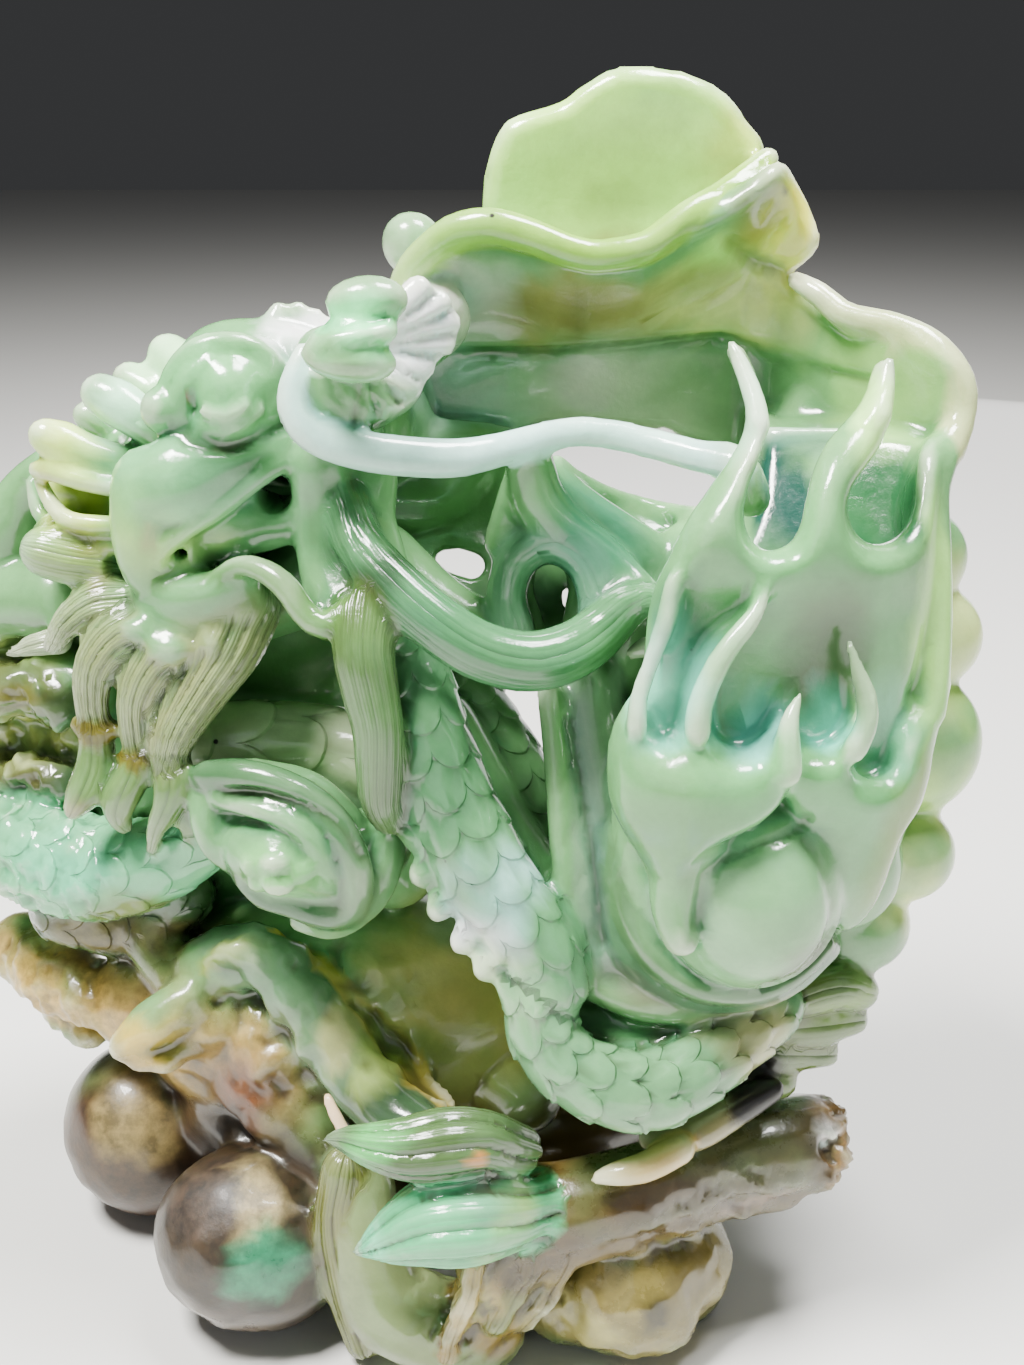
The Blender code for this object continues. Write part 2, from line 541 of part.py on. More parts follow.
def shapes():
    """Every run, boss and wall of the carving."""
    runs = {
        "screen_rims": (LIP, TOP_LOBE, RIGHT_RIM, BACK_BALL),
        "flame": (*TONGUES, *TONGUE_WEBS, *FLAME_PANELS, *panel_runs(), FLAME_TAIL),
        "pearl_dish": (DISH_RIM, DISH_BED),
        "head": (*SKULL, *BROW, *NOSE_BULBS, *JAWS, *LIPS, WHISKER, *NAPE),
        "horn_fan": (*fan_runs(), LONG_WHISKER),
        "mane": (*MANE, HANGING_LOCK, BACK_OF_MOUTH),
        "beard": (*BEARD, *CLAWS),
        "bodies": (*BODIES, *CLOUD_CURL, *SLOPE, *LEAF, *PETALS),
        "base": (*LOG, *PODS, *LEAF_MASS, *ROCK),
        "back": (BACK_BODY, *[scroll_run(*scroll) for scroll in SCROLLS]),
    }
    bosses = {
        "round_forms": (*SCALLOPS, *FLAME_BODY, PEARL, EYE, *BEANS, *BEARD_LUMPS),
        "fin_teeth": tooth_bosses(),
        "heart": (*BASE_BULBS, *HEART),
    }
    made = [add_runs(name, stations) for name, stations in runs.items()]
    made += [add_bosses(name, forms) for name, forms in bosses.items()]
    made.append(add_wall("front_wall", WALL_OUTLINE, front_wall_depth))
    made.append(add_wall("top_wall", LOBE_OUTLINE, top_lobe_depth))
    return made


def skin(carving):
    """Joins the forms into one rounded skin: voxel remesh, smoothing and thinning, all applied."""
    remesh = carving.modifiers.new("one_skin", "REMESH")
    remesh.mode = "VOXEL"
    remesh.voxel_size = GRAIN * MM
    polish = carving.modifiers.new("polish", "SMOOTH")
    polish.iterations = POLISH_ROUNDS
    full = evaluated_copy(carving)
    carving.modifiers.clear()
    carving.data = full
    thin = carving.modifiers.new("thin_out", "DECIMATE")
    thin.ratio = TRIANGLES / (2 * len(full.polygons))
    carving.data = evaluated_copy(carving)
    carving.modifiers.clear()


def evaluated_copy(carving):
    """The object's mesh with its modifiers applied."""
    bpy.context.view_layer.update()
    graph = bpy.context.evaluated_depsgraph_get()
    return bpy.data.meshes.new_from_object(carving.evaluated_get(graph))


def clear_scene():
    """Removes everything that a new file starts with."""
    for item in list(bpy.data.objects):
        bpy.data.objects.remove(item, do_unlink=True)


def build():
    """Builds the carving as one object, with the saw that levels it in a collection of its own."""
    clear_scene()
    parts = bpy.data.collections.new(STONE)
    cutters = bpy.data.collections.new("cutters")
    bpy.context.scene.collection.children.link(parts)
    bpy.context.scene.collection.children.link(cutters)
    carving = bpy.data.objects.new(STONE, join(shapes()))
    parts.objects.link(carving)
    skin(carving)
    level = carving.modifiers.new("sawn_flat", "BOOLEAN")
    level.operation = "DIFFERENCE"
    level.solver = "EXACT"
    level.object = add_saw(cutters)
    carving.data.materials.append(calcite())
    carving.data.shade_smooth()


build()
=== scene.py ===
"""Looks of the dragon carving: one block of pale green calcite, sculpted, polished, tinted and lit.

Lengths are millimetres in the carving's own layout, with X to the viewer's right, -Y towards the
viewer and +Z up. `Layout` turns them into the frame's metres. Every form is a run (a bar through
stations x, y, z, radius), a ball (an ellipsoid) or a slab (a bent plate inside an outline). A voxel
remesh joins them into one skin, cutters open the hollows, and the carver's finer marks are then
worked into that skin: scales, hair, ribs, creases and the roughness of the rock.
"""
import sys
import json
import logging
import math
from collections.abc import Callable
from dataclasses import dataclass
from enum import Enum
from functools import cached_property

import bmesh
import bpy
import numpy as np
from mathutils import Matrix, Vector
from mathutils.bvhtree import BVHTree

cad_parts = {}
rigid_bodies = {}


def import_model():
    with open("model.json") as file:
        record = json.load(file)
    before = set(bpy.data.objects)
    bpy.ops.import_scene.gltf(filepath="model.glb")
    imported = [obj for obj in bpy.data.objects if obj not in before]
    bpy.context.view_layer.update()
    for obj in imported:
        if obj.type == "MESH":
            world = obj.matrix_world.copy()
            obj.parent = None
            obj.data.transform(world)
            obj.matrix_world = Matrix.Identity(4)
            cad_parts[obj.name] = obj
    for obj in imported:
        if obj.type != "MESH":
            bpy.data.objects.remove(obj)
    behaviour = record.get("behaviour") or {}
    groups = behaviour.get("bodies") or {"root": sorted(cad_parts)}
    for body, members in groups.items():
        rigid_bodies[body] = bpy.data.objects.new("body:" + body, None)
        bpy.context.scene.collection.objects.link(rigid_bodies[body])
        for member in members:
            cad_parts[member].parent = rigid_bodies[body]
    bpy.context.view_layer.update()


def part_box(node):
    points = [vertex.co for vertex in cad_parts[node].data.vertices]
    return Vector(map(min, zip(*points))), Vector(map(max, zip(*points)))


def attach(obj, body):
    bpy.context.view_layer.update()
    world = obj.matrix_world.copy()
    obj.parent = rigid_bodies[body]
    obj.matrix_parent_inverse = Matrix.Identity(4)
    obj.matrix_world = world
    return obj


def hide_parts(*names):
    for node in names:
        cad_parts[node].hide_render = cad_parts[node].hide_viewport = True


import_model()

Place = tuple[float, float, float]
Station = tuple[float, float, float, float]
Run = tuple[Station, ...]
Ball = tuple[Place, Place]
LeaningBall = tuple[Place, Place, float]
Outline = tuple[tuple[float, float], ...]
Depth = Callable[[np.ndarray, np.ndarray], np.ndarray]

LOG = logging.getLogger("carving")
NODE = "dragon_carving"
PIECE = "calcite_dragon"
MM = 0.001
ORIGIN = (2.55, 13.7)  # from the middle of the CAD box to the layout's origin, along X and Y
BOX_MARGIN = 0.02  # how far inside the CAD box every point stays
EYE = np.array((8.0, -225.0, 190.0))  # where the viewer stands, in the layout
EYE_DROP = 22.0  # degrees that the view looks down
LENS = 38.58  # millimetres, on a film 36 wide
FILM = 36.0
TO_VIEWER = (0.0, -0.93, 0.37)  # the way that the flat side of a run looks

GRAIN = 0.75  # voxel size of the joined clay
FINE_GRAIN = 0.62  # and of the skin once the crisp trims are on
POLISH = 3  # rounds of smoothing after each remesh
SKIN_TRIANGLES = 198000
SIDES = 12  # corners round a run
STEP = 1.6  # stretch between two rings of a run
LINE_STEP = 0.8  # and between two points of an incised line
LEAST_RADIUS = 0.2
CAP_ANGLES = (25, 50, 70, 85)  # degrees, the rings of a run's half-round end
LOCK_FLAT = 0.85  # thickness of a lock of hair as a share of its width
SLAB_EDGE = 0.96  # how much of its thickness a slab loses at its rounded edge
SCALE_LAP = 0.62  # how much of a row of scales the row before it covers
WAVES = 7  # that add up to a noise
FAR = 1e9  # farther off than any point
TINY = 1e-6  # keeps a length from being nought


class Layout:
    """Turns the carving's layout into the frame's metres, from the CAD node's own box."""

    def __init__(self) -> None:
        """Reads the CAD node's box and finds where the layout's origin lies in the frame."""
        self.low, self.high = (np.array(corner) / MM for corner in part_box(NODE))
        middle = (self.low + self.high) / 2
        self.shift = np.array((middle[0] + ORIGIN[0], middle[1] + ORIGIN[1], self.low[2]))

    def metres(self, points: np.ndarray) -> np.ndarray:
        """Points of the layout as metres in the frame."""
        return (points + self.shift) * MM

    def inside(self, points: np.ndarray) -> np.ndarray:
        """Frame points in metres, kept inside the CAD node's box."""
        return np.clip(points, (self.low + BOX_MARGIN) * MM, (self.high - BOX_MARGIN) * MM)


def smoothstep(value: np.ndarray, start: float, end: float) -> np.ndarray:
    """Eased share, 0 to 1, of how far each value is from start to end."""
    share = np.clip((value - start) / (end - start), 0, 1)
    return share * share * (3 - 2 * share)


def ripple(points: np.ndarray, size: float, seed: int) -> np.ndarray:
    """Soft noise at each point.

    Args:
        points: where to read it, one point to a row.
        size: how many mm its swells are across.
        seed: the seed of its draws.

    Returns:
        One number for each point, about -1 to 1.
    """
    draw = np.random.default_rng(seed)
    total = np.zeros(len(points))
    for _ in range(WAVES):
        way = draw.normal(size=3)
        way *= math.tau / size * draw.uniform(0.6, 1.5) / np.linalg.norm(way)
        total += np.sin(points @ way + draw.uniform(0, math.tau))
    return total / 3


def spline(before: np.ndarray, start: np.ndarray, end: np.ndarray, after: np.ndarray,
           count: int) -> np.ndarray:
    """A smooth stretch between two knots.

    Args:
        before: the knot before the stretch.
        start: the knot where it starts.
        end: the knot where it ends, which the points leave out.
        after: the knot after it.
        count: how many points to give.

    Returns:
        The points, one to a row.
    """
    share = np.arange(count)[:, None] / count
    bend = 2 * before - 5 * start + 4 * end - after
    twist = 3 * (start - end) + after - before
    return 0.5 * (2 * start + (end - before) * share + bend * share**2 + twist * share**3)


class Path:
    """A smooth line through the stations of a run, with a frame at each of its points."""

    def __init__(self, stations: Run, step: float = STEP) -> None:
        """Samples the line.

        Args:
            stations: x, y, z and radius of each station.
            step: about how far apart the samples lie.
        """
        knots = np.array(stations, float)
        knots = np.vstack([2 * knots[0] - knots[1], knots, 2 * knots[-1] - knots[-2]])
        rows = []
        for before, start, end, after in zip(knots, knots[1:], knots[2:], knots[3:]):
            count = max(2, round(float(np.linalg.norm(end[:3] - start[:3])) / step))
            rows.append(spline(before, start, end, after, count))
        line = np.vstack([*rows, knots[-2]])
        self.points, self.radius = line[:, :3], np.maximum(line[:, 3], LEAST_RADIUS)
        self.tangent = np.gradient(self.points, axis=0)
        self.tangent /= np.linalg.norm(self.tangent, axis=1)[:, None]
        self.side, self.up = self._frames()
        strides = np.linalg.norm(np.diff(self.points, axis=0), axis=1)
        self.along = np.append(0, np.cumsum(strides))

    def _frames(self) -> tuple[np.ndarray, np.ndarray]:
        """Side and up vectors along the line; up points to the viewer as nearly as it can."""
        head_on = 0.35  # below this, the line runs at the viewer and keeps the side it had
        sides = []
        last = None
        for tangent in self.tangent:
            side = np.cross(tangent, TO_VIEWER)
            if np.linalg.norm(side) < head_on and last is not None:
                side = last - tangent * (last @ tangent)
            if last is not None and side @ last < 0:
                side = -side
            side = side / max(np.linalg.norm(side), TINY)
            sides.append(side)
            last = side
        side = np.array(sides)
        return side, np.cross(side, self.tangent)

    def rings(self, flat: float) -> list[Matrix]:
        """The place of each ring of the bar, with half-round ends.

        Args:
            flat: the bar's thickness as a share of its width.

        Returns:
            One matrix for each ring, that takes a unit circle there.
        """
        rows = [(0, -1, angle) for angle in reversed(CAP_ANGLES)]
        rows += [(index, 0, 0) for index in range(len(self.points))]
        rows += [(len(self.points) - 1, 1, angle) for angle in CAP_ANGLES]
        places = []
        for index, way, angle in rows:
            turn = math.radians(angle)
            radius = self.radius[index]
            out = self.tangent[index] * way * radius * math.sin(turn) * min(flat, 1)
            size = radius * math.cos(turn)
            place = np.eye(4)
            place[:3, 0] = self.side[index] * size
            place[:3, 1] = self.up[index] * size * flat
            place[:3, 2] = self.tangent[index]
            place[:3, 3] = self.points[index] + out
            places.append(Matrix(place.tolist()))
        return places


class Blanket:
    """A smooth surface y(x, z) stretched over a few anchors, as a thin plate would bend."""

    def __init__(self, anchors: tuple[Place, ...]) -> None:
        """Solves for the plate.

        Args:
            anchors: x, z and y of each anchor.
        """
        rows = np.array(anchors, float)
        self.feet = rows[:, :2]
        count = len(rows)
        system = np.zeros((count + 3, count + 3))
        system[:count, :count] = self._pull(self.feet)
        system[:count, count:] = np.column_stack([np.ones(count), self.feet])
        system[count:, :count] = system[:count, count:].T
        self.weights = np.linalg.solve(system, np.append(rows[:, 2], np.zeros(3)))

    def _pull(self, spots: np.ndarray) -> np.ndarray:
        """The plate's kernel between the spots and the anchors' feet."""
        gap = np.linalg.norm(spots[:, None] - self.feet[None], axis=2)
        return gap**2 * np.log(np.maximum(gap, TINY))

    def __call__(self, x: np.ndarray, z: np.ndarray) -> np.ndarray:
        """Depth of the surface at each (x, z)."""
        spots = np.column_stack([x, z])
        count = len(self.feet)
        flat = np.column_stack([np.ones(len(spots)), spots]) @ self.weights[count:]
        return self._pull(spots) @ self.weights[:count] + flat


def closed_line(outline: Outline) -> np.ndarray:
    """Points of a smooth closed line through the outline's corners."""
    corners = np.array(outline, float)
    rows = []
    for index in range(len(corners)):
        knots = (corners[(index + step) % len(corners)] for step in (-1, 0, 1, 2))
        rows.append(spline(*knots, count=4))
    return np.vstack(rows)


def is_inside(line: np.ndarray, spots: np.ndarray) -> np.ndarray:
    """Tells which spots lie inside a closed line.

    Args:
        line: x and z of the line's points.
        spots: x and z of the spots.

    Returns:
        True for each spot inside.
    """
    start, end = line, np.roll(line, -1, axis=0)
    x, z = spots[:, :1], spots[:, 1:]
    spans = (start[:, 1] > z) != (end[:, 1] > z)
    rise = np.where(np.abs(end[:, 1] - start[:, 1]) < 1e-9, 1e-9, end[:, 1] - start[:, 1])
    cross = start[:, 0] + (end[:, 0] - start[:, 0]) * (z - start[:, 1]) / rise
    return (spans & (x < cross)).sum(axis=1) % 2 == 1


def nearest_on(line: np.ndarray, spots: np.ndarray) -> tuple[np.ndarray, np.ndarray]:
    """Finds the nearest point of a closed line to each spot.

    Args:
        line: x and z of the line's points.
        spots: x and z of the spots.

    Returns:
        The nearest points, and how far off each is.
    """
    start, way = line, np.roll(line, -1, axis=0) - line
    length = np.maximum((way**2).sum(axis=1), 1e-9)
    best = np.full(len(spots), FAR)
    nearest = np.zeros_like(spots)
    for foot, step, size in zip(start, way, length):
        share = np.clip(((spots - foot) @ step) / size, 0, 1)
        point = foot + share[:, None] * step
        gap = ((spots - point) ** 2).sum(axis=1)
        closer = gap < best
        best[closer] = gap[closer]
        nearest[closer] = point[closer]
    return nearest, np.sqrt(best)


class Clay:
    """Closed shapes that overlap, which a voxel remesh later joins into one skin."""

    def __init__(self, name: str) -> None:
        """Starts an empty lump with this name."""
        self.name = name
        self.shape = bmesh.new()

    def run(self, stations: Run, flat: float) -> None:
        """Adds a bar through the stations, that thick as a share of its width."""
        bar = bmesh.new()
        edges: list[bmesh.types.BMEdge] = []
        before = Matrix()
        for place in Path(stations).rings(flat):
            if not edges:
                bmesh.ops.create_circle(bar, cap_ends=True, segments=SIDES, radius=1, matrix=place)
                edges = list(bar.edges)
            else:
                grown = bmesh.ops.extrude_edge_only(bar, edges=edges)["geom"]
                fresh = {item for item in grown if isinstance(item, bmesh.types.BMVert)}
                edges = [
                    item for item in grown
                    if isinstance(item, bmesh.types.BMEdge) and fresh.issuperset(item.verts)
                ]
                bmesh.ops.transform(bar, matrix=place @ before.inverted(), verts=list(fresh))
            before = place
        bmesh.ops.edgeloop_fill(bar, edges=edges)
        self.take(bar)

    def runs(self, *many: Run, flat: float = 1.0) -> None:
        """Adds a bar for each run.

        Args:
            many: the runs, each with x, y, z and radius of its stations.
            flat: the bars' thickness as a share of their width.
        """
        for stations in many:
            self.run(stations, flat)

    def take(self, form: bmesh.types.BMesh) -> None:
        """Adds a finished form to the lump; forms are shaped on their own because that is far quicker."""
        bmesh.ops.recalc_face_normals(form, faces=form.faces)
        mesh = bpy.data.meshes.new("form")
        form.to_mesh(mesh)
        form.free()
        self.shape.from_mesh(mesh)
        bpy.data.meshes.remove(mesh)

    def balls(self, *many: Ball | LeaningBall) -> None:
        """Adds ellipsoids.

        Args:
            many: each one's middle and half-sizes, and the degrees it leans clockwise for the viewer, if any.
        """
        for middle, radii, *lean in many:
            turn = Matrix.Rotation(math.radians(lean[0] if lean else 0.0), 4, "Y")
            place = Matrix.Translation(middle) @ turn @ Matrix.Diagonal((*radii, 1))
            form = bmesh.new()
            bmesh.ops.create_icosphere(form, subdivisions=4, radius=1, matrix=place)
            self.take(form)

    def slab(self, outline: Outline, front: Depth, thickness: float, roll: float, cell: float = 1.0) -> None:
        """Adds a bent plate whose rounded edge follows the outline.

        Args:
            outline: x and z of the outline's corners.
            front: depth of the front face at x and z.
            thickness: how thick the plate is away from its edge.
            roll: how far in from the edge the rounding reaches.
            cell: size of the grid that the plate is cut from.
        """
        line = closed_line(outline)
        low, high = line.min(axis=0), line.max(axis=0)
        cells = np.ceil((high - low) / cell).astype(int)
        plate = bmesh.new()
        made = bmesh.ops.create_grid(plate, x_segments=int(cells[0]), y_segments=int(cells[1]), size=0.5)
        verts = made["verts"]
        spots = low + (high - low) * (np.array([vert.co[:2] for vert in verts]) + 0.5)
        within = is_inside(line, spots)
        bmesh.ops.delete(plate, geom=[vert for vert, keep in zip(verts, within) if not keep], context="VERTS")
        kept = [vert for vert, keep in zip(verts, within) if keep]
        spots = spots[within]
        nearest, gap = nearest_on(line, spots)
        rim = np.array([vert.is_boundary or not vert.link_faces for vert in kept])
        spots[rim] = nearest[rim]
        gap[rim] = 0
        faces = list({face for vert in kept for face in vert.link_faces})
        inward = 1 - np.clip(gap / roll, 0, 1)
        round_off = thickness / 2 * (1 - np.sqrt(1 - inward**2)) * SLAB_EDGE
        face_depth = front(spots[:, 0], spots[:, 1])
        grown = bmesh.ops.extrude_face_region(plate, geom=faces)["geom"]
        fresh = [item for item in grown if isinstance(item, bmesh.types.BMVert)]
        by_spot = {tuple(round(value, 4) for value in vert.co[:2]): vert for vert in fresh}
        for vert, (x, z), depth, ease in zip(kept, spots, face_depth, round_off):
            twin = by_spot.get(tuple(round(value, 4) for value in vert.co[:2]))
            if twin is not None:
                twin.co = (x, depth + ease, z)
            vert.co = (x, depth + thickness - ease, z)
        bmesh.ops.delete(plate, geom=[vert for vert in plate.verts if not vert.link_faces], context="VERTS")
        self.take(plate)

    def piece(self) -> bpy.types.Object:
        """The lump as an object in the scene, in layout millimetres."""
        mesh = bpy.data.meshes.new(self.name)
        self.shape.to_mesh(mesh)
        self.shape.free()
        made = bpy.data.objects.new(self.name, mesh)
        bpy.context.scene.collection.objects.link(made)
        return made


def settle(piece: bpy.types.Object) -> None:
    """Applies the object's modifiers to its mesh."""
    bpy.context.view_layer.update()
    graph = bpy.context.evaluated_depsgraph_get()
    old = piece.data
    piece.data = bpy.data.meshes.new_from_object(piece.evaluated_get(graph))
    piece.modifiers.clear()
    bpy.data.meshes.remove(old)


def remesh(piece: bpy.types.Object, grain: float) -> None:
    """Joins everything in the object into one skin of even quads, `grain` mm wide."""
    joined = piece.modifiers.new("one_skin", "REMESH")
    joined.mode = "VOXEL"
    joined.voxel_size = grain
    settle(piece)


def smooth(piece: bpy.types.Object, rounds: int) -> None:
    """Smooths the skin as polishing does."""
    polish = piece.modifiers.new("polish", "SMOOTH")
    polish.iterations = rounds
    settle(piece)


class Kept(Enum):
    """What an attribute keeps for each point, with Blender's names of its kind and of its values."""

    NUMBER = ("FLOAT", "value")
    VECTOR = ("FLOAT_VECTOR", "vector")
    COLOUR = ("FLOAT_COLOR", "color")


@dataclass(frozen=True)
class Near:
    """The skin's points near a run, with where each lies on it."""

    index: np.ndarray
    along: np.ndarray  # mm from the run's first station
    turn: np.ndarray  # radians round its line
    weight: np.ndarray  # 1 on the run and 0 away from it
    girth: float  # the run's mean radius


class Skin:
    """The joined skin's points, which the carver's fine marks move along their normals."""

    def __init__(self, piece: bpy.types.Object) -> None:
        """Reads the points of the object's mesh, in layout millimetres."""
        self.piece = piece
        count = len(piece.data.vertices)
        self.points, self.normals = np.empty((count, 3)), np.empty((count, 3))
        piece.data.vertices.foreach_get("co", self.points.reshape(-1))
        piece.data.vertices.foreach_get("normal", self.normals.reshape(-1))
        self.height = np.zeros(count)
        self.weave = np.zeros((count, 3))  # rows of scales, scales across, phase of the strands
        self.scaled, self.combed, self.lines = np.zeros(count), np.zeros(count), np.zeros(count)

    def lay(self, found: Near, mask: np.ndarray, strength: np.ndarray, values: dict[int, np.ndarray]) -> None:
        """Keeps a pattern's coordinates for the points where it is stronger than what is there.

        Args:
            found: the points.
            mask: the pattern's own strengths, which this raises.
            strength: the new strength at each point found.
            values: the coordinates, by their column in the weave.
        """
        stronger = strength > mask[found.index]
        index = found.index[stronger]
        mask[index] = strength[stronger]
        for column, value in values.items():
            self.weave[index, column] = value[stronger]

    def near(self, stations: Run, flat: float = 1.0, reach: float = 1.3) -> Near:
        """Finds the points that belong to a run and their coordinates on it.

        Args:
            stations: the run's stations.
            flat: its thickness as a share of its width.
            reach: how many radii out a point may still belong to it.

        Returns:
            The points, with where each lies on the run.
        """
        path = Path(stations)
        margin = path.radius.max() * reach
        low, high = path.points.min(axis=0) - margin, path.points.max(axis=0) + margin
        index = np.flatnonzero(((self.points > low) & (self.points < high)).all(axis=1))
        best = np.full(len(index), FAR)
        along, turn = np.zeros(len(index)), np.zeros(len(index))
        for spot, radius, tangent, side, up, travel in zip(
            path.points, path.radius, path.tangent, path.side, path.up, path.along
        ):
            off = self.points[index] - spot
            ahead, across, out = off @ tangent, off @ side, off @ up / flat
            gap = np.sqrt(ahead**2 + across**2 + out**2) / radius
            closer = gap < best
            best[closer] = gap[closer]
            along[closer] = travel + ahead[closer]
            turn[closer] = np.arctan2(across[closer], out[closer])
        weight = 1 - smoothstep(best, 1.08, reach)
        held = weight > 0
        return Near(index[held], along[held], turn[held], weight[held], float(path.radius.mean()))

    def scales(self, stations: Run, pitch: float, lift: float, flat: float = 1.0) -> None:
        """Lays overlapping scales along a run, tips towards its last station.

        Args:
            stations: the run's stations.
            pitch: how far apart the rows are.
            lift: how far a tip stands over the next root.
            flat: the run's thickness as a share of its width.
        """
        found = self.near(stations, flat)
        count = max(4, round(math.tau * found.girth / (pitch * 1.15)))
        rows, across = found.along / pitch, found.turn * count / math.tau
        share = rows % 1
        side = np.abs((across + 0.5 * (np.floor(rows) % 2)) % 1 - 0.5) * 2
        tip = SCALE_LAP * np.sqrt(np.clip(1 - (1 - side) ** 2, 0, 1))
        height = np.where(share < tip, 1 + share, share) / (1 + SCALE_LAP)
        self.height[found.index] += lift * (height - 0.5) * found.weight
        self.lay(found, self.scaled, found.weight, {0: rows, 1: across})

    def hair(self, stations: Run, pitch: float, depth: float, flat: float = 1.0, wave: float = 0.5) -> None:
        """Cuts parallel grooves along a run, as for hair, leaf veins or the ribs of a pod.

        Args:
            stations: the run's stations.
            pitch: how far apart the grooves are.
            depth: how deep they are.
            flat: the run's thickness as a share of its width.
            wave: how far they sway, in radians round the run.
        """
        found = self.near(stations, flat)
        count = max(3, round(math.tau * found.girth / pitch))
        phase = found.turn * count / 2 + wave * np.sin(found.along / (pitch * 4))
        groove = (1 - np.abs(np.sin(phase))) ** 1.6 * smoothstep(found.along, -1, 6)
        self.height[found.index] -= depth * groove * found.weight
        self.lay(found, self.combed, found.weight * min(1, 0.25 + 1.5 * depth), {2: phase})

    def seen(self, points: np.ndarray) -> np.ndarray:
        """Where points appear to the viewer, as millimetres on a plane 200 mm away."""
        drop = math.radians(EYE_DROP)
        off = points - EYE
        ahead = off[:, 1] * math.cos(drop) - off[:, 2] * math.sin(drop)
        lift = off[:, 1] * math.sin(drop) + off[:, 2] * math.cos(drop)
        return np.column_stack([off[:, 0] / ahead, lift / ahead]) * 200

    def incise(self, stations: Run, depth: float, width: float = 0.7, slack: float = 9.0) -> None:
        """Cuts a line where the viewer sees the stations.

        Args:
            stations: the line; a station's fourth number scales the depth there.
            depth: how deep the line is cut, below zero for a raised one.
            width: half the line's width.
            slack: how far in front of or behind the line the skin may lie.
        """
        path = Path(stations, LINE_STEP)
        near = (np.abs(self.points - (path.points.max(axis=0) + path.points.min(axis=0)) / 2)
                < np.ptp(path.points, axis=0) / 2 + slack).all(axis=1)
        sight = EYE - self.points
        sight /= np.linalg.norm(sight, axis=1)[:, None]
        index = np.flatnonzero(near & ((sight * self.normals).sum(axis=1) > 0.05))
        view, line = self.seen(self.points[index]), self.seen(path.points)
        best, at = np.full(len(index), FAR), np.zeros(len(index), int)
        for row, spot in enumerate(line):
            gap = ((view - spot) ** 2).sum(axis=1)
            closer = gap < best
            best[closer], at[closer] = gap[closer], row
        off = np.abs((self.points[index] - path.points[at])[:, 1])
        fade = np.exp(-best / width**2) * (1 - smoothstep(off, slack * 0.6, slack))
        self.height[index] -= depth * fade * np.clip(path.radius[at], 0.2, 1.5)
        if depth > 0:
            self.lines[index] = np.maximum(self.lines[index], fade * min(1, depth))

    def roughen(self, middle: Place, reach: Place, size: float, depth: float, seed: int) -> None:
        """Works uneven, pitted stone into the skin.

        Args:
            middle: the middle of the rough patch.
            reach: its half-sizes along X, Y and Z.
            size: how many mm its swells are across.
            depth: how far they rise and fall.
            seed: the seed of its noise.
        """
        gap = np.linalg.norm((self.points - middle) / reach, axis=1)
        weight = 1 - smoothstep(gap, 0.75, 1.1)
        index = np.flatnonzero(weight > 0)
        swell = ripple(self.points[index], size, seed)
        swell += 0.5 * ripple(self.points[index], size * 0.4, seed + 1)
        self.height[index] += depth * swell * weight[index]

    def work_in(self) -> None:
        """Moves the points by the marks and hands them back to the mesh."""
        self.points += self.normals * self.height[:, None]
        self.piece.data.vertices.foreach_set("co", self.points.ravel())
        self.piece.data.update()

    @cached_property
    def edges(self) -> np.ndarray:
        """The first points of all the edges, then the second ones."""
        ends = np.empty(len(self.piece.data.edges) * 2, np.int64)
        self.piece.data.edges.foreach_get("vertices", ends)
        return ends.reshape(-1, 2).T

    @cached_property
    def links(self) -> np.ndarray:
        """How many edges meet at each point."""
        return np.maximum(np.bincount(self.edges.ravel(), minlength=len(self.points)), 1)

    def averaged(self, values: np.ndarray, rounds: int) -> np.ndarray:
        """One number for each point, replaced by its neighbours' mean that many times."""
        one, two = self.edges
        for _ in range(rounds):
            total = np.bincount(one, values[two], len(values)) + np.bincount(two, values[one], len(values))
            values = total / self.links
        return values

    def hollow(self, rounds: int) -> np.ndarray:
        """How far each point lies below its surroundings, in mm, over that many rounds of averaging."""
        around = np.column_stack([self.averaged(self.points[:, axis], rounds) for axis in range(3)])
        return ((around - self.points) * self.normals).sum(axis=1)

    def bend(self, rounds: int) -> np.ndarray:
        """Curvature at each point in 1/mm, above zero on a ridge, over that many rounds of averaging."""
        one, two = self.edges
        span = self.points[two] - self.points[one]
        square = (span**2).sum(axis=1)
        bow = np.bincount(one, -(span * self.normals[one]).sum(axis=1) / square, len(self.points))
        bow += np.bincount(two, (span * self.normals[two]).sum(axis=1) / square, len(self.points))
        return self.averaged(2 * bow / self.links, rounds)

    def shut_in(self, rays: int, reach: float) -> np.ndarray:
        """How far each point is shut in, 0 in the open and 1 at the bottom of a hollow.

        Args:
            rays: how many ways to look from each point.
            reach: how far off, in mm, a wall still counts.

        Returns:
            One share for each point.
        """
        tree = BVHTree.FromObject(self.piece, bpy.context.evaluated_depsgraph_get())
        turns = np.arange(rays) * math.pi * (3 - math.sqrt(5))
        rise = 1 - 2 * (np.arange(rays) + 0.5) / rays
        ring = np.sqrt(1 - rise**2)
        ways = np.column_stack([ring * np.cos(turns), ring * np.sin(turns), rise])
        starts = [Vector(row) for row in (self.points + self.normals * 0.3).tolist()]
        shut = np.zeros(len(starts))
        for way in ways:
            for index, (start, aim) in enumerate(zip(starts, (self.normals * 1.02 + way).tolist())):
                gap = tree.ray_cast(start, aim, reach)[3]
                if gap is not None:
                    shut[index] += 1 - gap / reach
        return shut / rays

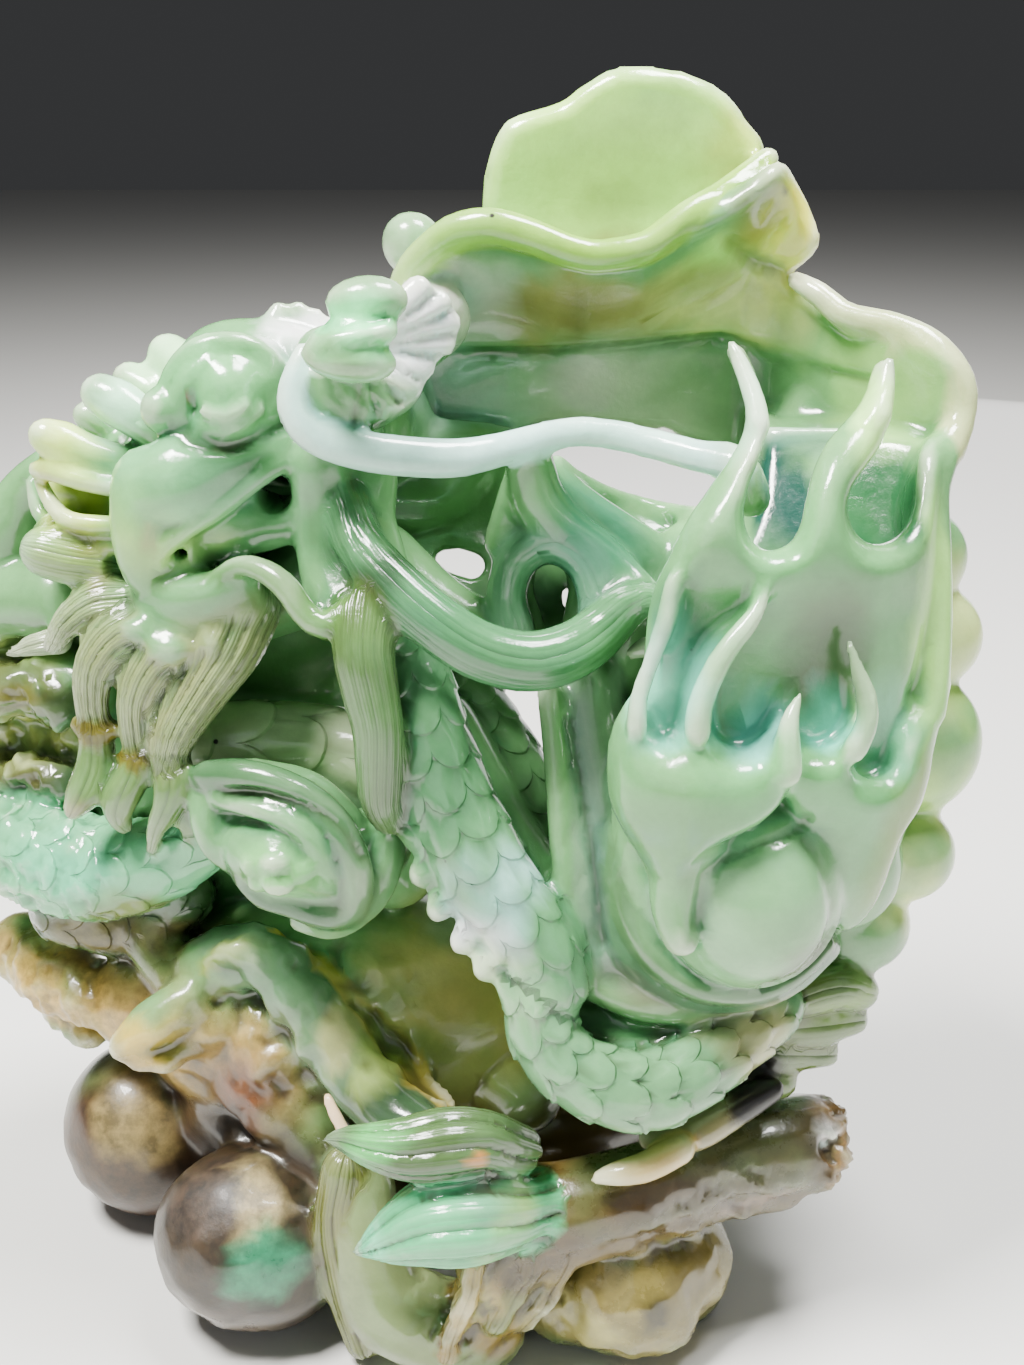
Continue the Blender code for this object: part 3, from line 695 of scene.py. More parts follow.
    def store(self, name: str, values: np.ndarray, kept: Kept = Kept.NUMBER) -> None:
        """Keeps one value for each point as an attribute of the mesh."""
        if kept is Kept.COLOUR:
            values = np.column_stack([values, np.ones(len(values))])
        kind, key = kept.value
        made = self.piece.data.attributes.new(name, kind, "POINT")
        made.data.foreach_set(key, values.astype(np.float32).ravel())


@dataclass(frozen=True)
class Tint:
    """A patch of colour, an ellipsoid with a soft, uneven edge: mostly the stone's own drift of colour, some
    painted light or shade.
    """

    middle: Place
    reach: Place
    colour: str
    strength: float = 1.0
    soft: float = 0.5
    rough: float = 0.0

    def share(self, skin: Skin, drift: np.ndarray) -> np.ndarray:
        """How much of the patch each point takes, with its edge shaken by the drift."""
        ease = min(1.0, min(self.reach) / 5)
        gap = np.linalg.norm((skin.points + drift * ease - self.middle) / self.reach, axis=1)
        return self.strength * (1 - smoothstep(gap, 1 - self.soft, 1 + self.soft * 0.6))


@dataclass(frozen=True)
class Wash:
    """A colour that lies along a run, on that form only."""

    stations: Run
    colour: str
    strength: float = 1.0
    reach: float = 1.35
    rough: float = 0.0

    def share(self, skin: Skin, drift: np.ndarray) -> np.ndarray:
        """How much of the colour each point takes, thinned a little by the drift."""
        found = skin.near(self.stations, reach=self.reach)
        whole = np.zeros(len(skin.points))
        whole[found.index] = found.weight * self.strength * (0.9 + 0.05 * drift[found.index, 0])
        return np.clip(whole, 0, 1)


Patches = tuple[Tint | Wash, ...]


class Stage(Enum):
    """When forms go on, with the name of a part's method that adds them."""

    MODEL = "model"
    CUT = "cut"
    TRIM = "trim"


@dataclass
class Part:
    """One sub-assembly of the carving; each kind adds its own forms, hollows, trims, marks and colours."""

    patches: Patches = ()  # of colour, later ones over earlier ones

    def model(self, clay: Clay) -> None:
        """Adds the forms that melt into their surroundings."""

    def cut(self, cutters: Clay) -> None:
        """Adds the cutters that open the hollows."""

    def trim(self, clay: Clay) -> None:
        """Adds the crisp forms that go on after the hollows are open."""

    def carve(self, skin: Skin) -> None:
        """Works the finer marks into the skin."""


@dataclass
class Screen(Part):
    """The thin cloud screen behind the flame, with its rolled lip and the lobe that rises behind it."""

    depth: float = 9.5  # y of the front face away from the edges
    thickness: float = 6.0
    roll: float = 2.6  # how far in from the edge its rounding reaches
    lip_swing: float = 11.5  # how far the top comes forward under the lip
    lip_rise: float = 9.0
    lip_end: tuple[float, float] = (44, 54)  # x where the swing starts to fade and where it's gone
    side_swing: float = 24.0
    side_start: float = 44.0
    side_width: float = 32.0
    foot_swing: float = 10.0
    foot_top: float = 110.0
    foot_height: float = 60.0
    step: float = 2.2  # how much deeper the lower panel lies than the upper
    step_band: tuple[float, float] = (-1.2, 0.4)  # heights from the crease where it starts and ends
    lip: Run = (
        (-9, 2, 162.5, 2), (-7, 1, 165.5, 2.5), (-4, 0, 168.5, 2.6), (0, -1, 171, 2.8), (5, -2, 171.8, 2.8),
        (10.5, -2.5, 170.5, 2.7), (15, -3, 168.8, 2.6), (19.5, -3, 167.6, 2.6), (24, -3, 168, 2.6),
        (28, -2, 169, 2.5), (34, 1, 173, 2.4), (39, 4, 175.5, 2.3), (43, 7, 178, 2.2), (46.5, 9, 180.5, 2),
    )
    outline: Outline = (
        (-14, 120), (-16, 132), (-15, 145), (-12, 156), (-8, 163), (-4, 168), (4, 171), (12, 170), (20, 167),
        (28, 169), (38, 175), (47, 181), (51, 177.5), (53.5, 173.5), (55, 169), (53.5, 165.5), (51.5, 163.5),
        (54, 161.5), (57.5, 159), (62, 159), (67, 158), (72, 155.5), (74.5, 152), (75.5, 148), (75.5, 143),
        (73, 139.5), (71, 136), (70, 131), (71.5, 124), (75, 114), (77, 98), (76, 78), (70, 62), (60, 50),
        (40, 50), (40, 100), (44, 124), (43, 132.5), (38, 135.4), (33, 137), (28.5, 137.8), (22, 138.4),
        (12, 138), (7, 130), (-3, 124),
    )
    lobe: Outline = (
        (2.5, 160), (3, 170), (3.4, 177), (4.8, 182.5), (7, 186), (11, 187.6), (15, 188.6), (18.5, 191),
        (23, 193.4), (29, 193.6), (35, 192.6), (40, 190.2), (44, 186), (47, 181), (46, 165), (20, 158),
    )
    lobe_thickness: float = 5.4
    lobe_depth: float = 13.0
    lobe_bowl: float = 2.5
    lobe_middle: tuple[float, float] = (26.0, 177.0)
    lobe_reach: tuple[float, float] = (24.0, 18.0)
    right_rim: Run = (
        (51, 4, 163.5, 1.6), (54.5, 1.5, 161.5, 2), (58, -1.5, 158.8, 2.2), (64, -4.5, 157.8, 2.3),
        (69.5, -8, 155.5, 2.4), (73.2, -11, 151, 2.4), (73.4, -12.5, 146, 2.4), (71.4, -16, 141.5, 2.4),
    )
    crease: Run = (
        (-2, 3, 152.5, 1), (7.5, 7, 152, 1), (15.5, 8, 152, 1), (22, 8, 152.5, 1), (28, 8, 153, 1),
        (34.5, 7, 153.8, 1), (40.5, 5, 154.5, 1), (45, 3, 153.5, 1), (50, -1, 152, 0.8), (56, -5, 151, 0.6),
        (61, -9, 150.5, 0.4),
    )
    flap_fold: Run = ((41, 4, 168.5, 0.8), (45.5, 4, 166, 1), (51, 4, 164, 1))
    scallops: tuple[Ball, ...] = (
        ((70, -9, 123.5), (8, 7, 8)), ((72.5, -10, 111), (9, 8, 8.5)), ((71.5, -13, 94), (11, 9, 12)),
        ((71, -16, 76), (8.5, 8, 8)), ((64.5, -18, 64), (8.5, 8, 8)),
    )
    back_ball: Run = ((-7.5, 12, 168, 5), (-3, 12, 162, 4))
    chip: tuple[Run, ...] = (
        ((32.4, 3, 140.4, 0.7), (32.2, 20, 137, 0.8)), ((34, 3, 139.8, 0.9), (34, 20, 136, 1)),
    )
    # lime towards the top and the rims, partly a painted highlight where the light falls on them, olive in
    # the middle, aqua below the crease
    patches: Patches = (
        Tint((25, 12, 177), (27, 9, 20), "#BFF375"),
        Tint((22, 11, 175), (8, 4, 5), "#737F52", 0.4),
        Tint((50, 5, 171), (9, 9, 9), "#F3F357"),
        Tint((41, 10, 180), (6, 6, 7), "#C7D553", 0.6),
        Tint((44, 2, 174), (5, 8, 7), "#646B21", 0.7),
        Tint((0, 4, 160), (15, 9, 9), "#F2F3E7"),
        Tint((22, 8, 160), (16, 9, 9), "#9E9557"),
        Tint((42, 6, 160), (13, 9, 9), "#F3F38F"),
        Tint((38, 8, 164), (6, 7, 6), "#7A823F", 0.6),
        Tint((1, 8, 145), (18, 10, 7.5), "#9CCAAE"),
        Tint((27, 9, 143), (20, 11, 9.5), "#B7C1A5"),
        Tint((61, -6, 150), (15, 13, 10), "#8DBC65"),
        Tint((73, -13, 112), (9, 11, 14), "#C3D687"),
        Tint((72, -14, 92), (10, 11, 12), "#B3DF69"),
        Tint((69, -17, 74), (10, 10, 11), "#D8E88D"),
        Tint((18.5, 7, 158), (2.4, 7, 8), "#6A5C31", 0.55, 0.7),
        Tint((-1, 2, 164.5), (3.4, 5, 3), "#6C5E3C", 0.45, 0.7),
        # painted highlight, in part: the lime on the lip and the pale right rim
        Wash(lip, "#91BF3A", 0.85),
        Wash(right_rim, "#C2C68F", 0.85),
        Tint((34.3, 9, 190.9), (0.45, 5, 1.9), "#1D2315", 0.9, 0.3),
        Tint((8, 7, 144.9), (1, 4, 0.45), "#1C2315", 0.9, 0.3),
        Tint((48.1, 2, 176.2), (0.5, 4, 0.5), "#1C2315", 0.9, 0.3),
    )

    def front(self, x: np.ndarray, z: np.ndarray) -> np.ndarray:
        """Depth of the screen's front face: hollow in the middle, forward at the lip and the right rim."""
        lip = np.array(self.lip)
        top = np.interp(x, lip[:, 0], lip[:, 2])
        ease = 1 - smoothstep(x, *self.lip_end)
        depth = self.depth - self.lip_swing * np.exp(-(((top - z) / self.lip_rise) ** 2)) * ease
        side = smoothstep(x, self.side_start, self.side_start + self.side_width)
        depth -= self.side_swing * side
        depth -= self.foot_swing * np.clip((self.foot_top - z) / self.foot_height, 0, 1) * side
        line = np.array(self.crease)
        fold = np.interp(x, line[:, 0], line[:, 2])
        low, high = self.step_band
        return depth + self.step * (1 - smoothstep(z, fold + low, fold + high)) * (1 - side)

    def lobe_front(self, x: np.ndarray, z: np.ndarray) -> np.ndarray:
        """Depth of the back lobe's front face, a shallow bowl."""
        across = (x - self.lobe_middle[0]) / self.lobe_reach[0]
        up = (z - self.lobe_middle[1]) / self.lobe_reach[1]
        return self.lobe_depth - self.lobe_bowl * (across**2 + up**2)

    def model(self, clay: Clay) -> None:
        """Adds the two bent walls, their rims and the scallops down the right edge."""
        clay.slab(self.outline, self.front, self.thickness, self.roll)
        clay.slab(self.lobe, self.lobe_front, self.lobe_thickness, self.roll)
        clay.runs(self.lip, self.right_rim, self.back_ball)
        clay.balls(*self.scallops)

    def cut(self, cutters: Clay) -> None:
        """Opens the chip over the whisker."""
        cutters.runs(*self.chip)

    def carve(self, skin: Skin) -> None:
        """Cuts the crease across the screen and the fold at its right flap."""
        skin.incise(self.crease, 0.9, 0.8)
        skin.incise(self.flap_fold, 0.8, 1.2)


@dataclass(frozen=True)
class Sheet:
    """One layer of the flame: a bent plate with tongues along its top edge."""

    anchors: tuple[Place, ...]  # x, z and y of the front
    outline: Outline
    thickness: float
    roll: float

    def lay(self, clay: Clay) -> None:
        """Adds the layer."""
        clay.slab(self.outline, Blanket(self.anchors), self.thickness, self.roll, 0.8)


@dataclass
class Flame(Part):
    """The flame over the pearl, in three layers: tall tongues, and two lower bodies in front of them."""

    apron: Sheet = Sheet(
        (
            (41, 142, -9), (48, 141.5, -9), (56, 142, -10), (64, 143, -14), (70, 142, -18), (43, 134, -15),
            (49, 131, -19), (56, 135, -16), (62, 133, -19), (68, 133, -24), (43, 122, -26), (50, 120, -27),
            (60, 120, -26), (68, 120, -26), (45, 100, -30), (62, 95, -28),
        ),
        (
            (45.5, 143), (50, 142.5), (56, 143), (63, 144.5), (69.5, 143), (71, 130), (71, 100), (66, 80),
            (50, 78), (36, 84), (31, 100), (31, 120), (39, 127), (43.5, 134),
        ),
        24, 2,
    )
    upper: Sheet = Sheet(
        (
            (37.1, 159, -30), (38.9, 154.4, -33), (40.2, 149.5, -38), (37.8, 144, -42), (32, 136.4, -45.5),
            (41.8, 134, -45), (49.7, 141.1, -41), (54.2, 148.9, -35), (58.2, 156.4, -29),
            (57.9, 133.1, -39.5), (65.5, 137.9, -29), (69.8, 143.5, -20), (67.1, 124.1, -31),
            (40.5, 128.1, -43), (50.5, 124.5, -40.5), (32.6, 128.3, -43.5), (31.9, 119.1, -44),
            (40.1, 112.3, -43.4), (50.3, 112.5, -40.4), (59.1, 105.3, -38), (61.6, 118.5, -37),
            (29.8, 109.7, -45), (40.2, 103.1, -45), (58.1, 95.4, -38), (63.9, 109.7, -36),
        ),
        (
            (37, 159.4), (39, 158.4), (40.5, 155.9), (41.4, 153.3), (41.8, 150.8), (41.3, 147.9),
            (40.4, 145.3), (39.1, 142.6), (38.3, 139.6), (38.7, 136.9), (40.3, 134.8), (42.4, 134.1),
            (44.5, 135), (45.7, 137.2), (46.4, 140.4), (47.4, 143.6), (48.8, 146.2), (51, 148.4),
            (53.8, 150.5), (55.4, 152.4), (56.3, 154.7), (57.5, 156.8), (58.7, 156.9), (59.5, 155.3),
            (59.7, 151.8), (59.2, 148.4), (58.2, 145.9), (55.8, 143.7), (53.3, 141.6), (52.6, 139),
            (53.5, 136.1), (55.7, 134.1), (58.4, 133.4), (61.2, 133.6), (63.1, 135.5), (64.1, 138.6),
            (64.9, 142), (66.8, 144), (70.2, 144.6), (71.9, 143), (70.5, 140.4), (69.2, 137.4), (68.3, 133.2),
            (68.3, 128.6), (67.8, 123.9), (66.5, 119.2), (65.7, 114.7), (64.3, 110.4), (64, 105.4),
            (64.6, 95.5), (58.8, 90), (34.9, 92), (24.6, 102.2), (25.4, 113.1), (25.8, 122.5), (26.6, 128.5),
            (28, 132.2), (29.3, 135.7), (30.7, 138.5), (32.7, 141.2), (34.8, 143.8), (37, 146.4), (38.4, 149),
            (38.8, 151.9), (38, 154.6), (36.6, 157.1), (36.1, 158.5),
        ),
        8.5, 3.4,
    )
    right: Sheet = Sheet(
        (
            (53, 121.3, -41.5), (55.3, 115.8, -44), (55.3, 110.8, -46), (49.1, 106.6, -48),
            (46.4, 109.8, -47), (57.7, 101.4, -46.5), (62.2, 104.5, -42), (66.6, 108.9, -36.5),
            (70.8, 111.6, -33), (67.9, 99.6, -38), (62.6, 93.7, -42), (53.7, 101.1, -47.5), (50.4, 95.8, -46),
            (57, 87.1, -44.5), (61.7, 77.9, -40), (55.6, 76.1, -42),
        ),
        (
            (45.1, 109.1), (46.5, 108), (49, 107), (51.5, 107.7), (53.5, 109.5), (54.3, 112.5), (54, 115.6),
            (53.2, 118.6), (52.2, 121.4), (53.2, 121.8), (54.6, 119.4), (55.8, 116.3), (56.5, 113.4),
            (56.3, 110.2), (55.2, 107.8), (54.7, 105.6), (55.7, 103.1), (57.8, 101.7), (60, 101.7),
            (61.5, 103.8), (62.2, 107), (64, 109.5), (67.4, 110.5), (70.7, 112.2), (72.1, 111), (70.7, 108.2),
            (69.3, 104), (68.5, 99.4), (67.2, 94.9), (64.9, 91.6), (63.7, 88), (62.8, 83.7), (61.5, 78.9),
            (59.1, 75.9), (55.4, 75.1), (53, 79.3), (51.6, 86), (48.7, 92.6), (45.7, 97), (44, 104.2),
        ),
        8.5, 3.2,
    )
    left: Sheet = Sheet(
        (
            (28.2, 129.3, -45.5), (28.1, 122.5, -46.5), (24.8, 114.6, -48), (28.7, 110.7, -50.5),
            (32.6, 113.6, -49), (37.2, 120.9, -46), (41.1, 129.8, -43.8), (39.8, 122.3, -46),
            (35.5, 115, -49), (38.1, 108.7, -51.5), (42.4, 111.9, -50), (46.1, 116, -46),
            (45.2, 108.5, -50.5), (31.1, 105.9, -54), (22.3, 104.4, -51), (25.2, 95.7, -51.5),
            (38.2, 98.7, -53), (44.9, 101.7, -51.5), (31.7, 94, -54), (28.6, 88.9, -53), (31.1, 84.3, -54.5),
        ),
        (
            (28.2, 131.5), (30.4, 130), (30.2, 127.5), (29.6, 125.5), (28.6, 122.6), (27.2, 119.4),
            (26.2, 116.4), (26.2, 113.6), (27, 111.2), (28.6, 110.2), (30, 111.4), (30.4, 113.8),
            (30.5, 116.6), (31.2, 119.8), (32.6, 122.8), (34.6, 125), (36.6, 126.7), (38, 128.4),
            (39.4, 130.4), (40.4, 131.6), (41.3, 131), (41.4, 129.6), (40.9, 127.4), (39.8, 125.2), (38, 123),
            (36.6, 121), (35.4, 119), (34.4, 116.6), (34.2, 113.6), (34.8, 111), (36.2, 109.2), (38.4, 108.5),
            (40.4, 109), (41.8, 110.2), (43, 112), (44.6, 115), (46.3, 116.5), (46.1, 114.7), (45.4, 113),
            (45.8, 110.6), (46.3, 108.1), (46.1, 104.6), (44.9, 101.4), (42.5, 98.8), (39.3, 97.1),
            (35.8, 95.9), (33.4, 94), (32.3, 91), (32.3, 87.7), (33.3, 84.9), (32.9, 82.3), (31.3, 81.2),
            (29.4, 82.2), (28.3, 84.9), (27.2, 87.9), (25.7, 91.6), (23.6, 95), (21.7, 98.6), (20.8, 102.7),
            (20.7, 107.1), (21.6, 111), (23.8, 114.8), (25.8, 118.1), (26.9, 121.8), (27.1, 125.8),
        ),
        9.5, 3.6,
    )
    ledge: Run = ((46, -6.6, 142.4, 1), (48, -7.4, 142, 1.6), (53, -8, 142.2, 1.4), (57, -9, 143, 1))
    tips: tuple[Run, ...] = (
        ((36.9, -29, 159.2, 0.9), (38.2, -30.5, 156.6, 1.3), (39.7, -33.5, 152.8, 1.5),
         (40.3, -36, 149.6, 1.6)),
        ((58.4, -27.5, 156.6, 1), (57.9, -29, 153.4, 1.5), (56.4, -32, 149.8, 2.1)),
        ((41, -44, 130.6, 0.8), (40.2, -45.2, 128, 1.2), (38.2, -46.6, 125.6, 1.5), (35.4, -48, 122.4, 1.7),
         (33.6, -49, 119, 1.8), (32.4, -49.8, 115.6, 1.9), (32.2, -50.4, 112.4, 2)),
        ((53, -42, 121.8, 0.8), (54, -43.6, 118.6, 1.2), (55.3, -45, 115, 1.6), (55.4, -46, 111.6, 1.7),
         (53.8, -46.8, 108.2, 1.9)),
        ((46, -47, 116.4, 0.8), (44.7, -48.4, 114, 1.3), (44.2, -49.6, 110.8, 1.9), (44.2, -50.6, 107, 2.4)),
        ((29, -44.4, 131, 1.4), (28.2, -45.2, 126.8, 1.5), (27, -46, 123, 1.4), (25.7, -47, 119.4, 1.3),
         (24.6, -48, 116, 1.4), (24.4, -48.8, 112.6, 1.7)),
    )
    backing: Run = (
        (33, -34, 127, 4), (33, -36, 118, 5.5), (33, -36, 108, 8), (46, -31, 104, 9), (60, -28, 106, 6.5),
    )
    strip: Run = (
        (72, -14, 143.4, 2.6), (68.6, -19, 139.6, 3), (67.2, -21.6, 136, 3.3), (67, -25, 130, 3.5),
        (67.4, -27.4, 122, 3.5), (67.6, -30, 115, 3.2), (67.4, -33, 108, 2.7),
    )
    body: tuple[Ball, ...] = (
        ((34.5, -33, 96), (12, 12, 12.5)), ((57, -27, 93), (11, 9, 14)), ((60, -25, 79), (8.5, 8, 11)),
    )
    tail: Run = ((33, -47, 94, 5), (30.6, -49.5, 88, 4), (30.6, -51, 84.4, 3.2), (31.2, -52.2, 82.4, 2.7))
    # pale tips and right edge, grey-green in the middle, turquoise down in the hollows, with painted shade in
    # the deep hollows and on the ledge
    patches: Patches = (
        Tint((46, -44, 112), (26, 14, 30), "#6AB56E", 0.8),
        Tint((50.5, -41, 121), (9, 8, 12), "#4D643F", 0.85),
        Tint((29, -46, 116), (6, 6, 11), "#82F3DE", 0.6),
        Tint((38, -33, 150), (4, 7, 9), "#C0F3C8"),
        Tint((57, -31, 149), (4, 7, 9), "#BDF38E"),
        Tint((63, -38, 91), (8, 8, 12), "#6A8E16"),
        Tint((68, -29, 120), (4.6, 9, 22), "#ABE37B", 0.9),
        Tint((31, -45, 124), (4, 5, 7), "#356A50", 0.8),
        # painted shade: dark teal in the two deep hollows between the tongues, on the first one's left wall
        # and on the ledge above them
        Tint((48, -19, 135), (6.5, 15, 13), "#164238", 1.0, 0.25),
        Tint((43, -30, 139.5), (2.8, 9, 9), "#2C796B", 0.85, 0.3),
        Tint((61, -20, 134), (5.6, 13, 9.5), "#235C35", 1.0, 0.25),
        Tint((52, -8, 143), (12, 4, 2.5), "#6BA088", 0.7),
        Tint((40, -44, 111), (5, 6, 6.5), "#76D0BD"),
        Tint((50.5, -41, 111), (4.6, 6, 7), "#77F0D3"),
        Tint((60.3, -37, 107), (4, 6, 8), "#6CBC8E"),
        Tint((30, -46, 118), (3.4, 5, 9), "#78D4BB", 0.6),
        Tint((33, -49, 97.5), (16, 7, 1.1), "#679582", 0.5),
        Tint((34, -49, 93.5), (15, 7, 0.9), "#6C9986", 0.4),
    )

    def model(self, clay: Clay) -> None:
        """Adds the layers, the tips and what carries them against the screen."""
        for sheet in (self.apron, self.upper, self.right, self.left):
            sheet.lay(clay)
        clay.runs(*self.tips, self.ledge, self.backing, self.strip)
        clay.balls(*self.body)
        clay.runs(self.tail)


@dataclass
class Pearl(Part):
    """The flaming pearl in its dish."""

    pearl: Ball = ((42, -39.8, 84), (13.8, 14, 15.6))
    rim: Run = (
        (25.2, -34, 90, 1.6), (24.3, -35, 86.5, 2), (24.2, -37, 81, 2.2), (26.4, -40, 75.5, 2.2),
        (30, -42, 71.5, 2.2), (35.5, -43, 68.3, 2.2), (42.5, -42, 67.2, 2.2), (49, -40, 68.5, 2.2),
        (54.5, -36, 71.5, 2.2),
    )
    outer: Run = (
        (22.6, -32, 88, 2), (21.5, -34, 81, 2.2), (23.6, -37, 74.5, 2.4), (28, -39.5, 69.5, 2.4),
        (35, -40.5, 65.8, 2.4), (43, -40, 64.6, 2.4), (50, -37.5, 66, 2.4), (56, -34, 69.5, 2.2),
    )
    bed: Run = ((36, -27, 78, 11), (45, -27, 74, 12), (53, -25, 74, 9))
    bowl: Run = (
        (25.5, -34, 93, 3.2), (26.5, -35.5, 86, 3.6), (28.5, -37, 79, 3.8), (33, -38, 73, 3.8),
        (41, -38, 70.5, 3.6), (50, -36, 72.5, 3.6), (56, -31, 78, 3.6),
    )
    furrow: Run = (
        (49, -42, 92.1, 0.6), (52.1, -42, 87.3, 1), (54.1, -42, 79.9, 1.2), (53.1, -42, 74.9, 1.2),
        (49.4, -42, 71, 1.2), (45.2, -42, 68, 0.8),
    )
    overlap: Run = (
        (47.6, -50, 99.6, 0.6), (45.4, -50, 97.2, 1), (39.9, -50, 94.9, 1), (34.7, -50, 91.5, 1),
        (33.6, -50, 85.5, 1), (33.2, -50, 80.4, 0.8),
    )
    # clear mint on the pearl, duller green in the dish, with a painted shadow in the dish under the pearl
    patches: Patches = (
        Wash(rim, "#263621", 0.6),
        Wash(outer, "#305049", 0.6),
        Tint((41, -45, 84), (14.5, 12, 13.5), "#89BF87"),
        # painted shadow: dark olive in the dish below the pearl's right side
        Tint((51, -49, 77), (5, 8, 5), "#4E5C3D", 0.75),
    )

    def model(self, clay: Clay) -> None:
        """Adds the dish."""
        clay.runs(self.rim, self.outer, self.bed, self.bowl)

    def trim(self, clay: Clay) -> None:
        """Sets the pearl in the dish."""
        clay.balls(self.pearl)

    def carve(self, skin: Skin) -> None:
        """Cuts the furrows where the dish and the flame's body meet the pearl."""
        skin.incise(self.furrow, 0.9, 0.9)
        skin.incise(self.overlap, 0.7, 0.8)


